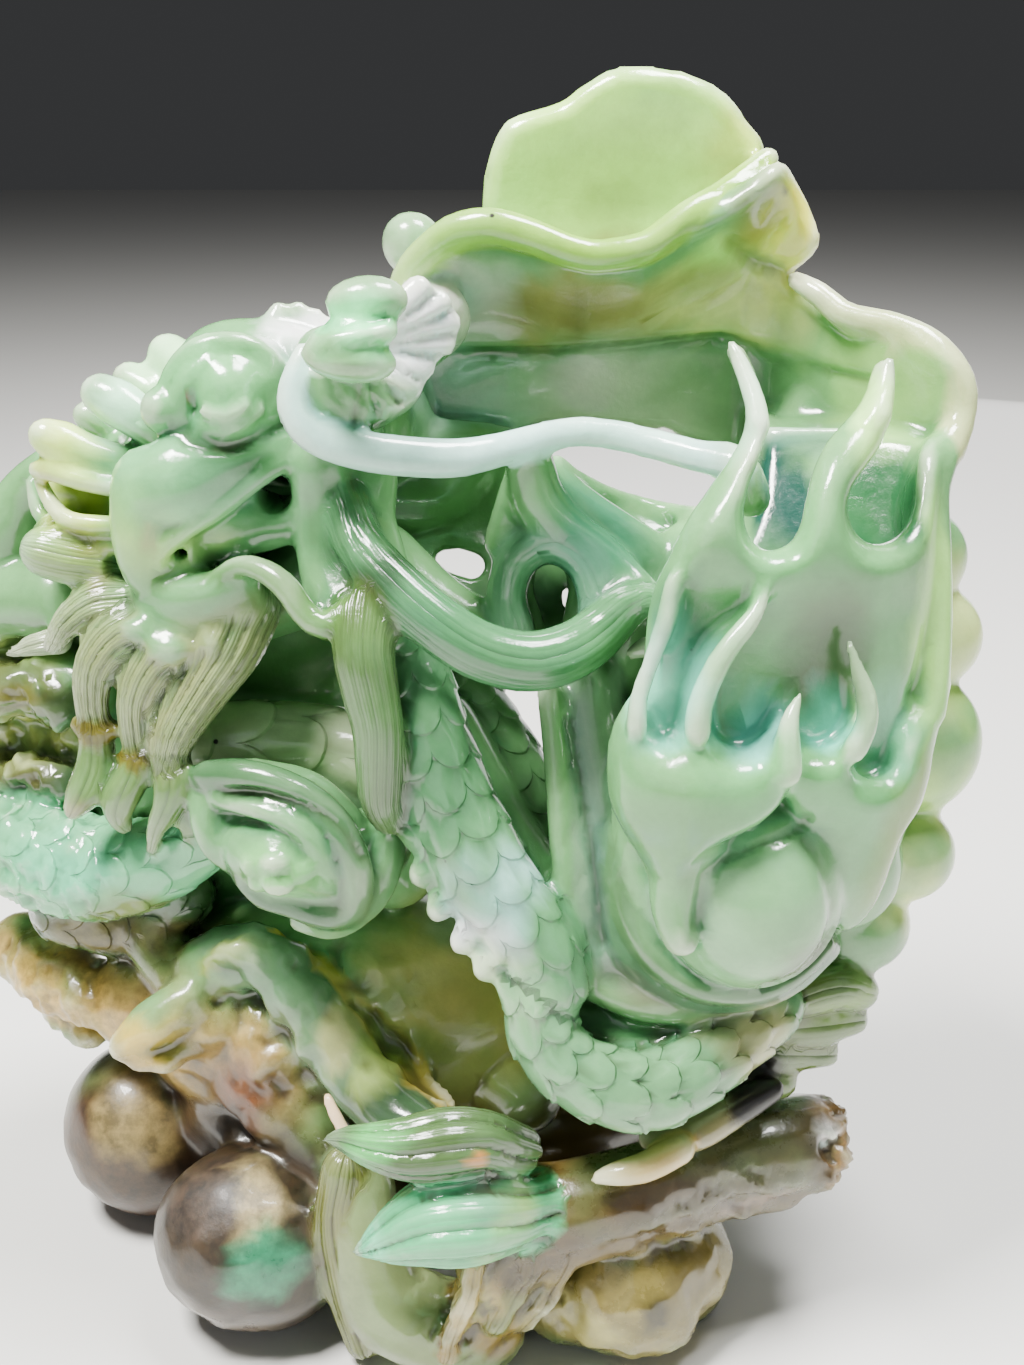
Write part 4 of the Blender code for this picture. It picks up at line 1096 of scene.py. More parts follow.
@dataclass
class Head(Part):
    """The dragon's head, which looks to the viewer's left with its mouth open."""

    core: tuple[Run, ...] = (
        ((-54.5, -4, 131, 7.5), (-43.5, -2, 135, 10.5), (-31, 0, 141.5, 11.5), (-18, 0, 141.5, 11)),
        ((-48.5, -8, 116, 7), (-39.5, -8, 114.5, 8), (-31.5, -8, 116, 6.5), (-20.5, -6, 120.5, 8)),
        ((-79.5, 4, 119, 7.5), (-73.5, 3, 124.5, 6), (-68.5, 2, 131.5, 4.2), (-63, 0, 135, 4.5)),
        ((-81, 2, 109.5, 6.5), (-73.5, 0, 113.5, 6.5), (-64, -4, 115, 6.5)),
        ((-49, 10, 124, 9), (-30, 10, 134, 10), (-18, 8, 140, 9)),
    )
    cranium: tuple[Run, ...] = (
        ((-40, -6, 151, 3.6), (-35.5, -8, 154.3, 4.4), (-30.5, -8, 155, 4.6), (-24.5, -8, 154, 4.6),
         (-20, -10, 151, 6)),
        ((-30, -4, 150, 8), (-20, -4, 148, 9)),
    )
    muzzle: tuple[Run, ...] = (
        ((-43.5, -19.5, 137.5, 6.2), (-40, -20, 138, 6.8), (-34, -18, 141, 6.5), (-28, -16, 143, 5.5),
         (-22, -13, 142.5, 5)),
        ((-44.5, -20, 136, 5.5), (-45.5, -21, 130, 4.6), (-45.5, -21, 125, 3.4), (-43.5, -20, 121.5, 3)),
        ((-41, -19, 133, 5), (-41, -18, 126, 5)),
    )
    jaw: tuple[Run, ...] = (
        ((-44.5, -21, 122.2, 2.5), (-40.5, -23, 121.6, 2.9), (-36, -23.5, 122.6, 3.2),
         (-31, -22, 124.4, 2.8)),
        ((-41, -18, 119, 4), (-33, -17, 119.5, 4.5)),
    )
    nose_curls: tuple[Run, ...] = (
        ((-60.4, -12, 143, 2.9), (-58.5, -11.5, 141.8, 3.6), (-55.5, -11, 140, 3.4), (-51, -10, 138, 3.6)),
        ((-57.5, 0, 143.5, 2.6), (-53.5, 0, 141, 2.8)),
        ((-52.8, -8, 148.4, 3.3), (-50.5, -8.5, 147.2, 3.8), (-47, -9.5, 145.2, 3.4), (-43, -10, 143, 3.6)),
        ((-52, 6, 148, 3), (-48, 4, 146, 3.2)),
        ((-46, 8, 151.5, 3.6), (-43.5, 6, 150, 4), (-40, 3, 148.5, 4)),
    )
    crest: tuple[Run, ...] = (
        ((-28, -6, 157, 2), (-26.2, -6, 160.6, 1.3)), ((-25, -5.5, 157.5, 2), (-23.4, -5, 160.8, 1.2)),
        ((-22.5, -5, 157, 2), (-20.8, -4.5, 159.6, 1.2)), ((-20, -5, 156, 2), (-18.5, -4, 158, 1.2)),
    )
    eye: Ball = ((-31.8, -16.4, 150.6), (5.6, 6.6, 5.8))
    eye_bed: Ball = ((-32, -13.8, 150.6), (9.2, 6.6, 7.4))
    brow: tuple[Run, ...] = (
        ((-40.8, -17.5, 147.8, 1.7), (-40.4, -17.5, 151, 1.9), (-38.2, -17, 154.6, 2),
         (-34.6, -17, 156.8, 2), (-30, -16.5, 157, 1.8), (-26.6, -16, 155.2, 1.6), (-25, -16, 152, 1.3)),
        ((-38.6, -19.8, 147.4, 1.4), (-38.2, -19.8, 150.6, 1.5), (-36.8, -19.4, 153.2, 1.5),
         (-34, -19, 155, 1.3)),
        ((-25.8, -17, 148.8, 1.6), (-22, -15, 151, 1.8), (-19, -13, 151.5, 2)),
    )
    brow_bed: tuple[Run, ...] = (
        ((-39.6, -15.6, 148.6, 3), (-38.4, -15.6, 152.4, 3), (-34, -15.6, 154.8, 2.6)),
        ((-33, -18, 144.6, 3.6), (-26, -15.6, 147, 3.8)),
        ((-35, -16.6, 130.5, 5), (-29, -16.4, 131.6, 5), (-24, -15.6, 132.4, 4.4)),
        ((-44, -20.6, 119, 3.8), (-38, -21.6, 118.6, 4.4), (-31.5, -20.4, 119.4, 4.6)),
    )
    knob: Ball = ((-41.6, -18.5, 148.2), (3.1, 3.3, 3.3))
    lids: tuple[Run, ...] = (
        ((-36.2, -20.6, 147, 1), (-33.5, -22.2, 146, 1.2), (-30.5, -22.2, 146.4, 1.2),
         (-27.5, -20.4, 148.6, 1)),
        ((-34.8, -22.4, 148.8, 0.8), (-31.8, -23.3, 148.2, 0.9), (-29, -22.4, 149.6, 0.8)),
    )
    lip: Run = (
        (-43.5, -22.4, 126, 1.3), (-41.8, -23.2, 129.6, 1.6), (-38.2, -23.4, 132.6, 1.8),
        (-33.2, -22.4, 135.6, 1.8), (-28.6, -20.9, 138.8, 1.7), (-24.8, -19.8, 141, 1.6),
        (-21.5, -18.6, 142, 1.3),
    )
    whisker: Run = (
        (-35.5, -24, 124.5, 1.2), (-31, -25, 127.2, 1.5), (-27, -27, 127, 1.8), (-23.6, -29, 125, 2),
        (-21.3, -30, 121.8, 2), (-18.3, -31, 120.2, 2.2), (-15, -30, 121.8, 2.3), (-11.5, -28, 123, 1.5),
    )
    left_lips: tuple[Run, ...] = (
        ((-62.5, -12, 138, 1.4), (-59.5, -13.5, 138, 1.6), (-55, -14.5, 136.8, 1.5),
         (-50, -14.5, 135.6, 1.4)),
        ((-62.5, -11, 136, 1.1), (-60.5, -13.5, 133.4, 1.3), (-57, -16.5, 131.4, 1.5),
         (-50, -17.5, 131, 1.5)),
        ((-58.5, -14, 128.5, 1.4), (-54, -16, 128, 1.5), (-50, -17, 127.6, 1.4)),
        ((-66, -4, 134, 1.2), (-65, -6, 130, 1.3), (-62, -9, 128, 1.2)),
    )
    left_beds: tuple[Run, ...] = (
        ((-60.5, -10, 126.5, 4.8), (-55.5, -10, 125, 4.5), (-50, -10, 124.5, 4.5)),
        ((-60, -6, 134, 3.6), (-52, -8, 133.5, 4)),
    )
    cheek_ball: tuple[Run, ...] = (
        ((-61.2, -15.5, 126.4, 4.2), (-57, -15.5, 125.2, 4.2), (-52.6, -14, 124, 3)),
        ((-53, -17.5, 126, 1.3), (-53.6, -18, 122, 1.1), (-54, -18, 119, 0.9)),
    )
    mouth: tuple[Run, ...] = (
        ((-34.8, -25.6, 129.4, 1), (-31, -25, 130.6, 1.8), (-27, -24, 132.2, 2.4), (-23.6, -22.8, 133, 1.9)),
        ((-26.6, -22, 135.6, 2.6), (-25.8, -14, 136.4, 2.4), (-25, -4, 137.4, 2)),
    )
    nostril: Run = ((-40.6, -31, 127.2, 1.4), (-39.6, -18, 128.4, 1))
    under_eye: Run = (
        (-38, -21.5, 144.5, 1.2), (-32, -22.5, 143.6, 1.5), (-26, -20, 145.6, 1.5), (-22, -18, 148, 1.2),
    )
    # pale mint, lime on the nose curls and lips, tan in the folds of the cheek, a painted highlight on the
    # crown
    patches: Patches = (
        Tint((-38, -14, 140), (28, 20, 24), "#63A269", 0.85),
        Tint((-60, -12, 142), (7, 7, 6), "#D7F375"),
        Tint((-50, -8, 147), (8, 8, 6), "#B5F3C7"),
        Tint((-44, 6, 150), (8, 9, 6), "#BCF3B3"),
        # painted highlight: the crown is near white where the top light falls
        Tint((-26, -7, 156.5), (13, 8, 5), "#F3F3F3"),
        Tint((-42, -20, 133), (7, 9, 9), "#9DC96C"),
        Tint((-32, -20, 151), (9, 8, 8), "#6AB671", 0.8),
        Tint((-40, -22, 139), (8, 8, 7), "#75C585", 0.7),
        Tint((-32, -17, 139), (7, 8, 4), "#7AB083", 0.7),
        Tint((-35, -25, 142), (7, 6, 4.5), "#498059", 0.5),
        Tint((-33, -19, 143.5), (9, 7, 3), "#1A4820", 0.75),
        Tint((-57, -14, 133.5), (8, 8, 6), "#BFD655", 0.9),
        Tint((-60, -14, 138), (2.6, 4, 2), "#A6924F", 0.6),
        Tint((-56, -16, 129), (5, 4, 2.2), "#865E2E", 0.6),
        Tint((-58, -17, 125.6), (6, 6, 4.4), "#7A934D", 0.9),
        Tint((-53.5, -18, 121), (1.8, 3, 4), "#8C7959", 0.6),
        Tint((-43.5, -25, 131.5), (0.9, 4, 2.6), "#A9A76E", 0.6),
        Tint((-37.4, -22, 149.8), (0.6, 3, 0.6), "#7F4E21", 0.9, 0.3),
        Wash(whisker, "#578037", 0.6),
    )

    def model(self, clay: Clay) -> None:
        """Adds the skull, muzzle, jaw and the round nose curls."""
        clay.runs(*self.core, *self.cranium, *self.muzzle, *self.jaw, *self.nose_curls, *self.crest)
        clay.runs(*self.left_beds)
        clay.balls(self.eye_bed)
        clay.runs(*self.brow_bed, *self.cheek_ball)

    def cut(self, cutters: Clay) -> None:
        """Opens the mouth and drills the nostril."""
        cutters.runs(*self.mouth, self.nostril)

    def trim(self, clay: Clay) -> None:
        """Adds the eye, brow, lids, lips and whisker."""
        clay.balls(self.eye, self.knob)
        clay.runs(*self.brow, *self.lids, self.lip, *self.left_lips, self.whisker)

    def carve(self, skin: Skin) -> None:
        """Draws the folds under the eye and the strands of the cheek ball."""
        skin.incise(self.under_eye, 0.8, 1.1)
        skin.hair(self.cheek_ball[0], 2.2, 0.22)


@dataclass
class HornFan(Part):
    """The fan behind the horn, the double bean in front of it and the long whisker that leaves it."""

    pivot: Place = (-12.5, -21, 157)
    tips: tuple[Place, ...] = (
        (-4.5, -17, 165.3), (-1.6, -16, 163), (-0.4, -15, 160), (-1.2, -15.5, 157), (-4, -17, 154),
        (-7, -19, 151.3), (-9.6, -21, 149), (-12.6, -23, 147.6), (-16, -24.5, 147.6),
    )
    bed: tuple[Run, ...] = (
        ((-18, -17, 155, 5), (-11.5, -14.5, 155.5, 5.5), (-6.5, -12, 158.5, 4.6)),
        ((-8, -8, 156, 6), (-4, 2, 158, 6)), ((-17.6, -15, 149.6, 5), (-13, -15.6, 150, 4.6)),
    )
    bib: Run = (
        (-19.4, -20, 154, 4), (-17, -20.6, 150.6, 4.6), (-13, -20.6, 150, 4.8), (-8.6, -18.6, 152, 4.4),
    )
    rib: tuple[tuple[float, float], ...] = ((0, 1.6), (0.55, 2.2), (1, 2))  # share of its length, radius
    rib_flat: float = 0.7
    beans: tuple[LeaningBall, ...] = (
        ((-11.2, -26.4, 164.2), (5.6, 3.6, 3.4), -4.0), ((-13, -28.6, 160), (6.2, 4.4, 2.6), -10.0),
        ((-13.6, -29.2, 157.2), (6.4, 4.4, 3.2), 8.0),
    )
    whisker: Run = (
        (-20.2, -23, 157.2, 1.6), (-21.8, -24.5, 153.6, 2), (-22, -26, 149.8, 2.3), (-19.4, -27, 146.6, 2.6),
        (-14, -27, 144.6, 2.9), (-7, -26, 143.3, 3), (0.5, -24, 142.6, 2.9), (7.5, -22, 143.6, 2.5),
        (15, -21, 145.4, 2.3), (21, -21, 145.4, 2.3), (27.5, -23, 144.4, 2.3), (33.5, -26, 143.4, 2.4),
        (38.5, -30, 143.2, 2.2),
    )
    bib_folds: tuple[Run, ...] = (
        ((-20, -24.2, 155, 0.8), (-19, -25.2, 152, 0.9), (-17, -25.6, 149, 0.9), (-15, -25.2, 147, 0.7)),
        ((-18.4, -25.2, 154.8, 0.8), (-17, -25.8, 152, 0.9), (-14.8, -26.0, 149.4, 0.9),
         (-12.4, -25.2, 147.4, 0.7)),
        ((-16.4, -25.8, 154.4, 0.8), (-14.6, -26.2, 152, 0.9), (-12.2, -25.6, 149.8, 0.9),
         (-9.8, -24.2, 148.2, 0.7)),
        ((-14, -25.8, 154.6, 0.8), (-12, -25.6, 152.6, 0.9), (-9.6, -24.4, 150.6, 0.9),
         (-7.4, -22.8, 149.4, 0.7)),
        ((-11.6, -25.4, 155, 0.8), (-9.6, -24.4, 153.4, 0.9), (-7.2, -22.8, 151.8, 0.8)),
    )
    # pale lime on the fan, mint on the beans
    patches: Patches = (
        Tint((-6, -17, 157), (9, 9, 10), "#F3F3F5"),
        Tint((-13, -29, 160.5), (7.4, 5, 6.4), "#7EF3A0"),
        Wash(whisker, "#C6F3EB", 0.9),
    )

    def model(self, clay: Clay) -> None:
        """Adds the fan's bed, its flat ribs and the whisker."""
        clay.runs(*self.bed)
        start = np.array(self.pivot)
        for tip in self.tips:
            rib = [(*(start + (tip - start) * share), size) for share, size in self.rib]
            clay.runs(tuple(rib), flat=self.rib_flat)
        clay.runs(self.whisker, flat=LOCK_FLAT)
        clay.runs(self.bib)

    def trim(self, clay: Clay) -> None:
        """Adds the beans and the wavy folds under them."""
        clay.balls(*self.beans)
        clay.runs(*self.bib_folds)

    def carve(self, skin: Skin) -> None:
        """Cuts the line between each two ribs of the fan and the beans' creases."""
        for one, two in zip(self.tips, self.tips[1:]):
            end = (np.array(one) + np.array(two)) / 2 + (0.6, -1.5, 0)
            skin.incise(((*self.pivot, 0.3), (*end, 1.2)), 0.7, 0.6)
        skin.incise(((-16.8, -31, 161.4, 1), (-13, -32, 162, 1), (-8.6, -29, 162.6, 1)), 0.6, 0.6)
        skin.incise(((-18, -32, 158.2, 0.8), (-13.4, -33.5, 158.6, 1), (-9, -31.5, 159.6, 0.8)), 0.45, 0.6)


@dataclass
class Mane(Part):
    """The mane: the pillars under the fan, the great curl, its loop and the lock that hangs from it."""

    pillars: tuple[Run, ...] = (
        ((-19.5, -18, 140.5, 5), (-19.5, -18, 133.5, 4.5), (-19, -20, 126.5, 4.5), (-17, -24, 121, 5)),
        ((-13.5, -14, 137.5, 5), (-14, -16, 131.5, 5), (-12.5, -20, 125, 5.5), (-12, -26, 119.5, 5)),
        ((-17, -10, 145, 6), (-16, -8, 132, 6)),
    )
    curl: Run = (
        (-16, -20, 135, 3.2), (-13.5, -25, 130, 3.8), (-7.5, -29.5, 124.4, 4.2), (-1.5, -32, 120, 4.3),
        (4, -32, 116.6, 4.4), (10.5, -31, 114.8, 4.5), (16.5, -29, 115.6, 4.4), (21, -27, 118.2, 4),
        (24.4, -27, 121.6, 3.3), (27.4, -29, 123.6, 2.5), (29.6, -33, 124.6, 2),
    )
    curl_bed: Run = ((-12, -10, 123.5, 6), (-3, -14, 116.5, 5.5), (6, -16, 112.5, 5))
    loop: tuple[Run, ...] = (
        ((19.4, -24, 114.6, 3.4), (21, -22.5, 120, 3.5), (19.2, -20.5, 126, 3.5), (14.3, -19, 129, 3.4),
         (9.3, -18, 126.6, 3.3), (7.2, -17.5, 120.4, 3.2), (8.6, -18.5, 114.4, 3.4)),
        ((18.6, -15, 114, 3.4), (20, -13, 120, 3.6), (18, -11, 125.6, 3.6), (13.4, -9, 127.6, 3.6),
         (9, -9, 124, 3.6), (8, -9, 118, 3.6), (9.6, -11, 112.6, 3.8)),
    )
    veil_depth: tuple[Place, ...] = (
        (-12, 136, 2), (8, 138, 4), (20, 138, 6), (-10, 126, 0), (8, 124, 1), (22, 124, -2), (-6, 114, -9),
        (8, 110, -10), (20, 110, -8),
    )
    veil_thickness: float = 6.0
    veil_roll: float = 2.0
    veil: Outline = (
        (-14, 141), (-14, 128), (-10, 118), (-4, 112), (4, 108), (14, 107), (22, 110), (25, 118), (22, 128),
        (15, 134), (11, 138), (5, 141),
    )
    openings: tuple[Run, ...] = (  # the gaps that light comes through from behind
        ((-2.4, -8, 122.8, 1.6), (-4.1, 32, 110.4, 2)), ((1.8, -8, 121.8, 2.1), (0.6, 32, 109.3, 2.5)),
        ((-0.3, -8, 122.5, 2.1), (-1.8, 32, 110, 2.5)), ((16.7, -6, 116.8, 1), (18.2, 32, 104.4, 1.2)),
        ((16.9, -6, 114.8, 1), (18.3, 32, 102.4, 1.2)),
    )
    wedge: Run = ((28, -15, 121, 5), (26, -15, 112, 6), (25, -14, 104, 6))
    gap_sill: Run = ((8, 0, 84.4, 5), (15, -2, 80, 6))
    plate: tuple[Run, ...] = (
        ((10.5, -19, 141, 3.6), (11.8, -19, 135.5, 4), (15.5, -19, 131, 3.8), (21, -20, 127, 3.4),
         (25.8, -23, 123.6, 2.8), (28.8, -27, 122.4, 2)),
        ((10.2, -17, 139.5, 3), (8, -16, 134, 2.6), (6, -16, 128, 2.4)),
        ((13, -14, 136, 4), (19, -13, 130, 5), (27, -14, 125, 5)),
    )
    saddle: tuple[Run, ...] = (
        ((14.5, -13, 139.6, 1.3), (17.5, -9.5, 136.2, 1.5), (22.5, -6, 132.6, 1.6), (28, -4, 130.4, 1.6),
         (33, -6, 129.8, 1.6), (37, -12, 130.8, 1.8)),
        ((21.5, -6, 128, 3.4), (29, -5, 124.5, 4.5), (34, -10, 121, 5)),
        ((34, -12, 126, 4), (34.5, -20, 120, 5)),
    )
    root: Run = ((34, -26, 143.3, 2.2), (38.5, -28, 142.6, 3), (41, -28, 138, 3))
    lock: Run = (
        (-12.4, -29.5, 121.5, 4.8), (-12.8, -33, 117, 4.6), (-12, -34, 111.5, 4.3), (-11, -35, 106, 3.9),
        (-11, -35, 99.5, 3.7), (-11, -35, 94.5, 3.2), (-10.2, -34, 90.5, 2.2),
    )
    throat: tuple[Run, ...] = (
        ((-16, 4, 128, 8), (-4, 6, 128, 6), (2, 8, 134, 6)), ((-24, -4, 128, 5), (-20, -8, 121, 6)),
    )
    folds: tuple[Run, ...] = (
        ((-17.4, -22.4, 139, 1), (-17, -22.6, 131, 1), (-15.6, -25, 124, 0.8)),
        ((-15, -19, 139, 1), (-14, -21.4, 131, 1), (-12, -26, 124, 0.8)),
        ((-21.4, -21, 136, 0.8), (-21, -22, 130, 0.8)),
    )
    # deeper green on the pillars, partly painted shade on their upright faces, and on the lock; clear mint on
    # the plate; painted shade in the hole through the loop
    patches: Patches = (
        # painted shade, in part: the pillars' deeper green darkens their upright faces
        Tint((-17, -18, 132), (8, 9, 13), "#2A4E28", 0.95),
        Tint((-20, -22, 136), (6, 6, 9), "#3D6037", 0.6),
        # painted shade: dark green in the hole through the loop
        Tint((13.6, -5, 118), (7, 6, 8), "#16391E", 0.85),
        Tint((20, -18, 130), (13, 10, 11), "#1B6950", 0.8),
        Wash(curl, "#336D46", 0.8),
        Tint((-9, -28, 127), (6, 6, 6), "#161612", 0.7),
        Wash(loop[0], "#52816B", 0.75),
        Wash(lock, "#455B27", 0.8),
    )

    def model(self, clay: Clay) -> None:
        """Adds every lock of the mane."""
        clay.runs(*self.pillars, *self.loop, *self.plate, *self.saddle, *self.throat)
        clay.runs(self.curl, self.curl_bed)
        clay.slab(self.veil, Blanket(self.veil_depth), self.veil_thickness, self.veil_roll)
        clay.runs(self.wedge, self.gap_sill, self.root)
        clay.runs(self.lock, flat=LOCK_FLAT)

    def cut(self, cutters: Clay) -> None:
        """Opens the gaps through to the back."""
        cutters.runs(*self.openings)

    def carve(self, skin: Skin) -> None:
        """Combs the strands of the curl, the loop and the hanging lock."""
        skin.hair(self.curl, 3.4, 0.16)
        skin.hair(self.lock, 1.7, 0.18, LOCK_FLAT)
        skin.hair(self.loop[0], 4.2, 0.1)
        for stations in self.folds:
            skin.incise(stations, 0.35, 0.9)


@dataclass
class Beard(Part):
    """The tufts of the beard and the claws that show under them."""

    tufts: tuple[Run, ...] = (
        ((-49.5, -18, 119.8, 3), (-54, -19, 119.5, 3.2), (-58, -20, 117, 2.6), (-60.8, -20, 113, 1.8)),
        ((-46, -20, 116.5, 4), (-50.5, -22, 115, 4), (-53.8, -23, 111, 3.4), (-55, -23, 105.5, 2.8),
         (-54.8, -23, 102, 2.6)),
        ((-40.5, -21, 114.5, 4), (-44.8, -24, 111.5, 4), (-47.6, -25, 106.5, 3.2), (-48.2, -25, 100.5, 2.6),
         (-47.8, -25, 98, 2.5)),
        ((-32, -18, 119, 6), (-34, -22, 114, 5.5), (-38, -25, 108, 4.4), (-41.4, -27, 102.5, 3.6),
         (-43.2, -28, 97.5, 2.6)),
        ((-37.5, -20, 115.5, 6), (-40.8, -23.5, 109, 4.4), (-43.8, -25, 103, 3.4), (-45, -26, 99.5, 2.5)),
        ((-62, -12, 111, 2.4), (-66, -13, 110.6, 2), (-70.5, -13, 109, 0.9)),
    )
    lumps: tuple[Ball, ...] = (
        ((-46.5, -24.5, 117.4), (2.8, 2, 1.8)), ((-41.8, -26, 114.8), (3.6, 2.4, 2.4)),
        ((-35.6, -26, 115.6), (2.2, 1.8, 2)), ((-31.6, -24, 115.4), (2, 1.8, 2)),
    )
    paws: tuple[Run, ...] = (
        ((-54.8, -23, 101, 2.7), (-55, -23, 97.5, 3), (-55.6, -24, 94.2, 3.1), (-57.2, -26, 91, 2.8),
         (-58.2, -27, 89.4, 2)),
        ((-48, -25, 98, 2.5), (-49, -26, 94.5, 2.8), (-50.6, -27, 91.6, 2.9), (-51.6, -27, 88.6, 2.4),
         (-51.2, -26, 86, 1.6)),
        ((-42.5, -27, 98, 2.8), (-42.6, -28, 94, 3.2), (-43.6, -29, 91, 2.4), (-45.6, -28.5, 87, 1.8),
         (-47.2, -27.5, 82.5, 1)),
        ((-42.5, -28, 91.5, 1.8), (-41.2, -27.5, 87, 1.5), (-41.4, -26, 82, 0.9)),
    )
    cuffs: tuple[Run, ...] = (
        ((-57.6, -22, 101.2, 1.4), (-55, -24.2, 100.8, 1.8), (-52, -23, 100.8, 1.4)),
        ((-50.4, -25, 97.2, 1.2), (-48, -26.6, 97, 1.5), (-45.4, -25.6, 97, 1.2)),
    )
    # brown-pink in the tufts, orange-brown at the cuffs, dull green on the claws
    patches: Patches = (
        *(Wash(stations, "#8C9660", 0.85) for stations in tufts),
        *(Wash(stations, "#5F783D", 0.8) for stations in paws),
        *(Wash(stations, "#5E5813", 1.0, 1.5, 0.4) for stations in cuffs),
        Tint((-58, -26, 90), (3.4, 4, 2.4), "#897044", 0.6),
        Tint((-52, -23, 92.6), (0.8, 6, 0.8), "#1E1A12", 0.8, 0.3),
    )

    def model(self, clay: Clay) -> None:
        """Adds the tufts, the lumps at their roots and the claws."""
        clay.runs(*self.tufts, flat=LOCK_FLAT)
        clay.balls(*self.lumps)
        clay.runs(*self.paws)

    def trim(self, clay: Clay) -> None:
        """Adds the cuffs where the tufts end on the claws."""
        clay.runs(*self.cuffs)

    def carve(self, skin: Skin) -> None:
        """Cuts the deep grooves of the tufts."""
        for stations in self.tufts:
            skin.hair(stations, 1.7, 0.5, LOCK_FLAT)
        for stations in self.paws[:3]:
            skin.hair(stations, 3.6, 0.25)


@dataclass
class Bodies(Part):
    """The dragon's scaled body, which winds in and out of the stone."""

    left: tuple[Run, ...] = (
        ((-82, -2, 78.5, 7.2), (-78, -8, 75.5, 8), (-68.5, -14, 74, 8.4), (-58.5, -18, 74, 8.4),
         (-49, -20, 76.5, 7.3), (-40, -22, 82.5, 5.6), (-37, -22, 88.5, 4.4)),
        ((-66.5, -10, 62.5, 7), (-56.5, -10, 60.5, 7), (-47.5, -12, 65.5, 6)),
    )
    shelves: tuple[Run, ...] = (
        ((-80.5, -4, 99.5, 5), (-71.5, -6, 100, 4.5), (-64.5, -8, 98.5, 4)),
        ((-81.5, -2, 84, 4), (-73.5, -6, 85, 3.5), (-65.5, -10, 85.5, 3.5)),
        ((-79, 6, 88, 8), (-73.5, 6, 88, 8), (-58, 0, 88.5, 8.5)),
        ((-80, 4, 99, 6.5), (-71.5, 0, 100, 6.5), (-62, -4, 100, 6)),
    )
    behind: tuple[Run, ...] = (
        ((-44, -12, 94, 6), (-33, -12, 93.8, 6.8), (-23, -12, 93, 6.8), (-12.5, -14, 90.5, 7)),
        ((-38, -12, 83.5, 8), (-21.5, -12, 83.5, 9.5), (-12, -12, 72.5, 8.5)),
    )
    slanting: Run = (
        (-7.5, -21, 114.5, 5), (-5, -27, 105, 6), (-2, -31, 96, 6.5), (1.5, -34, 88, 7), (6, -37, 80.5, 6.8),
        (12, -40, 73, 6), (14.5, -42, 68, 5),
    )
    slant_bed: Run = ((-3, -18, 99, 6), (3, -22, 86, 7.5), (11, -28, 74, 7.5))
    back_piece: Run = (
        (-2, -8, 105, 5), (3, -10, 97.5, 5.5), (8, -14, 90.5, 5.5), (11, -18, 83, 5.5), (13, -22, 78, 4),
    )
    bulge: Run = ((-10.5, 2, 104, 8), (-5.5, 0, 98, 7.5))
    teeth: tuple[Place, ...] = (
        (-6.4, -33, 93), (-6.4, -34.5, 88.6), (-5.4, -36.4, 83.6), (-2.8, -38.6, 79), (0.6, -40.4, 74.6),
        (4, -42, 71), (7.6, -43, 68.4), (10.4, -44, 66.4),
    )
    tooth: Place = (2, 2, 2.4)
    bend: Run = (
        (11.5, -42, 68, 5), (12.5, -44, 61.5, 5.5), (16.5, -46, 56.5, 5.6), (23, -47, 53.5, 6),
        (29.5, -46, 52.5, 6), (36, -43, 54, 5.5), (43, -38, 56, 5), (49, -33, 57.5, 4.5),
    )
    bend_bed: Run = ((15.5, -32, 55, 8), (28, -34, 52.5, 8.5), (41, -30, 55.5, 8))
    slope: tuple[Run, ...] = (
        ((-29.5, 2, 56, 10.5), (-15.5, 0, 51.5, 10.5), (-4.5, -6, 43, 10.5), (2.5, -14, 36, 9.5),
         (9.5, -21, 33, 7.5)),
        ((-12, -8, 61.5, 3.5), (-6, -8, 57.5, 4), (1, -12, 50, 4)),
    )
    # turquoise on the left coil, mint on the slanting one, rust stains on the shelves
    patches: Patches = (
        Tint((0, -7, 46), (26, 22, 24), "#B6B65D", 0.95),
        Tint((2, -8, 62), (10, 12, 8), "#85AA86", 0.7),
        Tint((-7, -21, 56), (12, 7, 8), "#D5C576", 0.75),
        Tint((-74, -2, 94), (14, 14, 14), "#C4C960", 0.7),
        *(Wash(stations, "#161613", 0.8) for stations in shelves[:2]),
        # painted light: the coil behind is made paler than its own green because it lies in shade
        Wash(behind[0], "#D9E8B9", 0.8),
        Tint((-29, -16, 98.6), (9, 7, 5), "#C6DDB2", 0.7),
        Wash(left[0], "#74CF95", 0.95),
        Tint((-78, -12, 70), (8, 10, 7), "#AFCB99", 0.7),
        Tint((-60, -24, 78), (9, 8, 4), "#6ADEB0", 0.6),
        Tint((-52, -24, 70), (9, 9, 4), "#6F731F", 0.8),
        Wash(left[1], "#232312", 0.8),
        Tint((-71, -9, 101), (6, 5, 2), "#655B16", 0.6),
        Tint((-58, -17, 61.5), (14, 6, 4), "#6A5E30", 0.85, 0.4, 0.5),
        Tint((-74, -8, 87), (10, 7, 2.6), "#311C12", 0.6),
        Wash(slanting, "#508D62", 0.7),
        Tint((-2, -37, 98), (7, 8, 8), "#386541", 0.6),
        Tint((5, -40, 80), (6, 7, 9), "#BBF3F3", 0.8),
        Tint((4, -42, 75), (6, 7, 6), "#F3F3F6", 0.8),
        Tint((8, -44, 70), (7, 6, 6), "#C8EAAB", 0.7),
        Wash(bend, "#74AD7B", 0.8),
        Tint((44, -38, 58), (8, 9, 5), "#C5C087", 0.8),
        Tint((24.4, -51, 57.6), (0.5, 4, 0.4), "#161A14", 0.9, 0.3),
        Tint((26.4, -51, 57.4), (0.4, 4, 0.5), "#161A14", 0.9, 0.3),
        Tint((28.8, -50, 57.6), (0.6, 4, 0.4), "#161A14", 0.9, 0.3),
    )

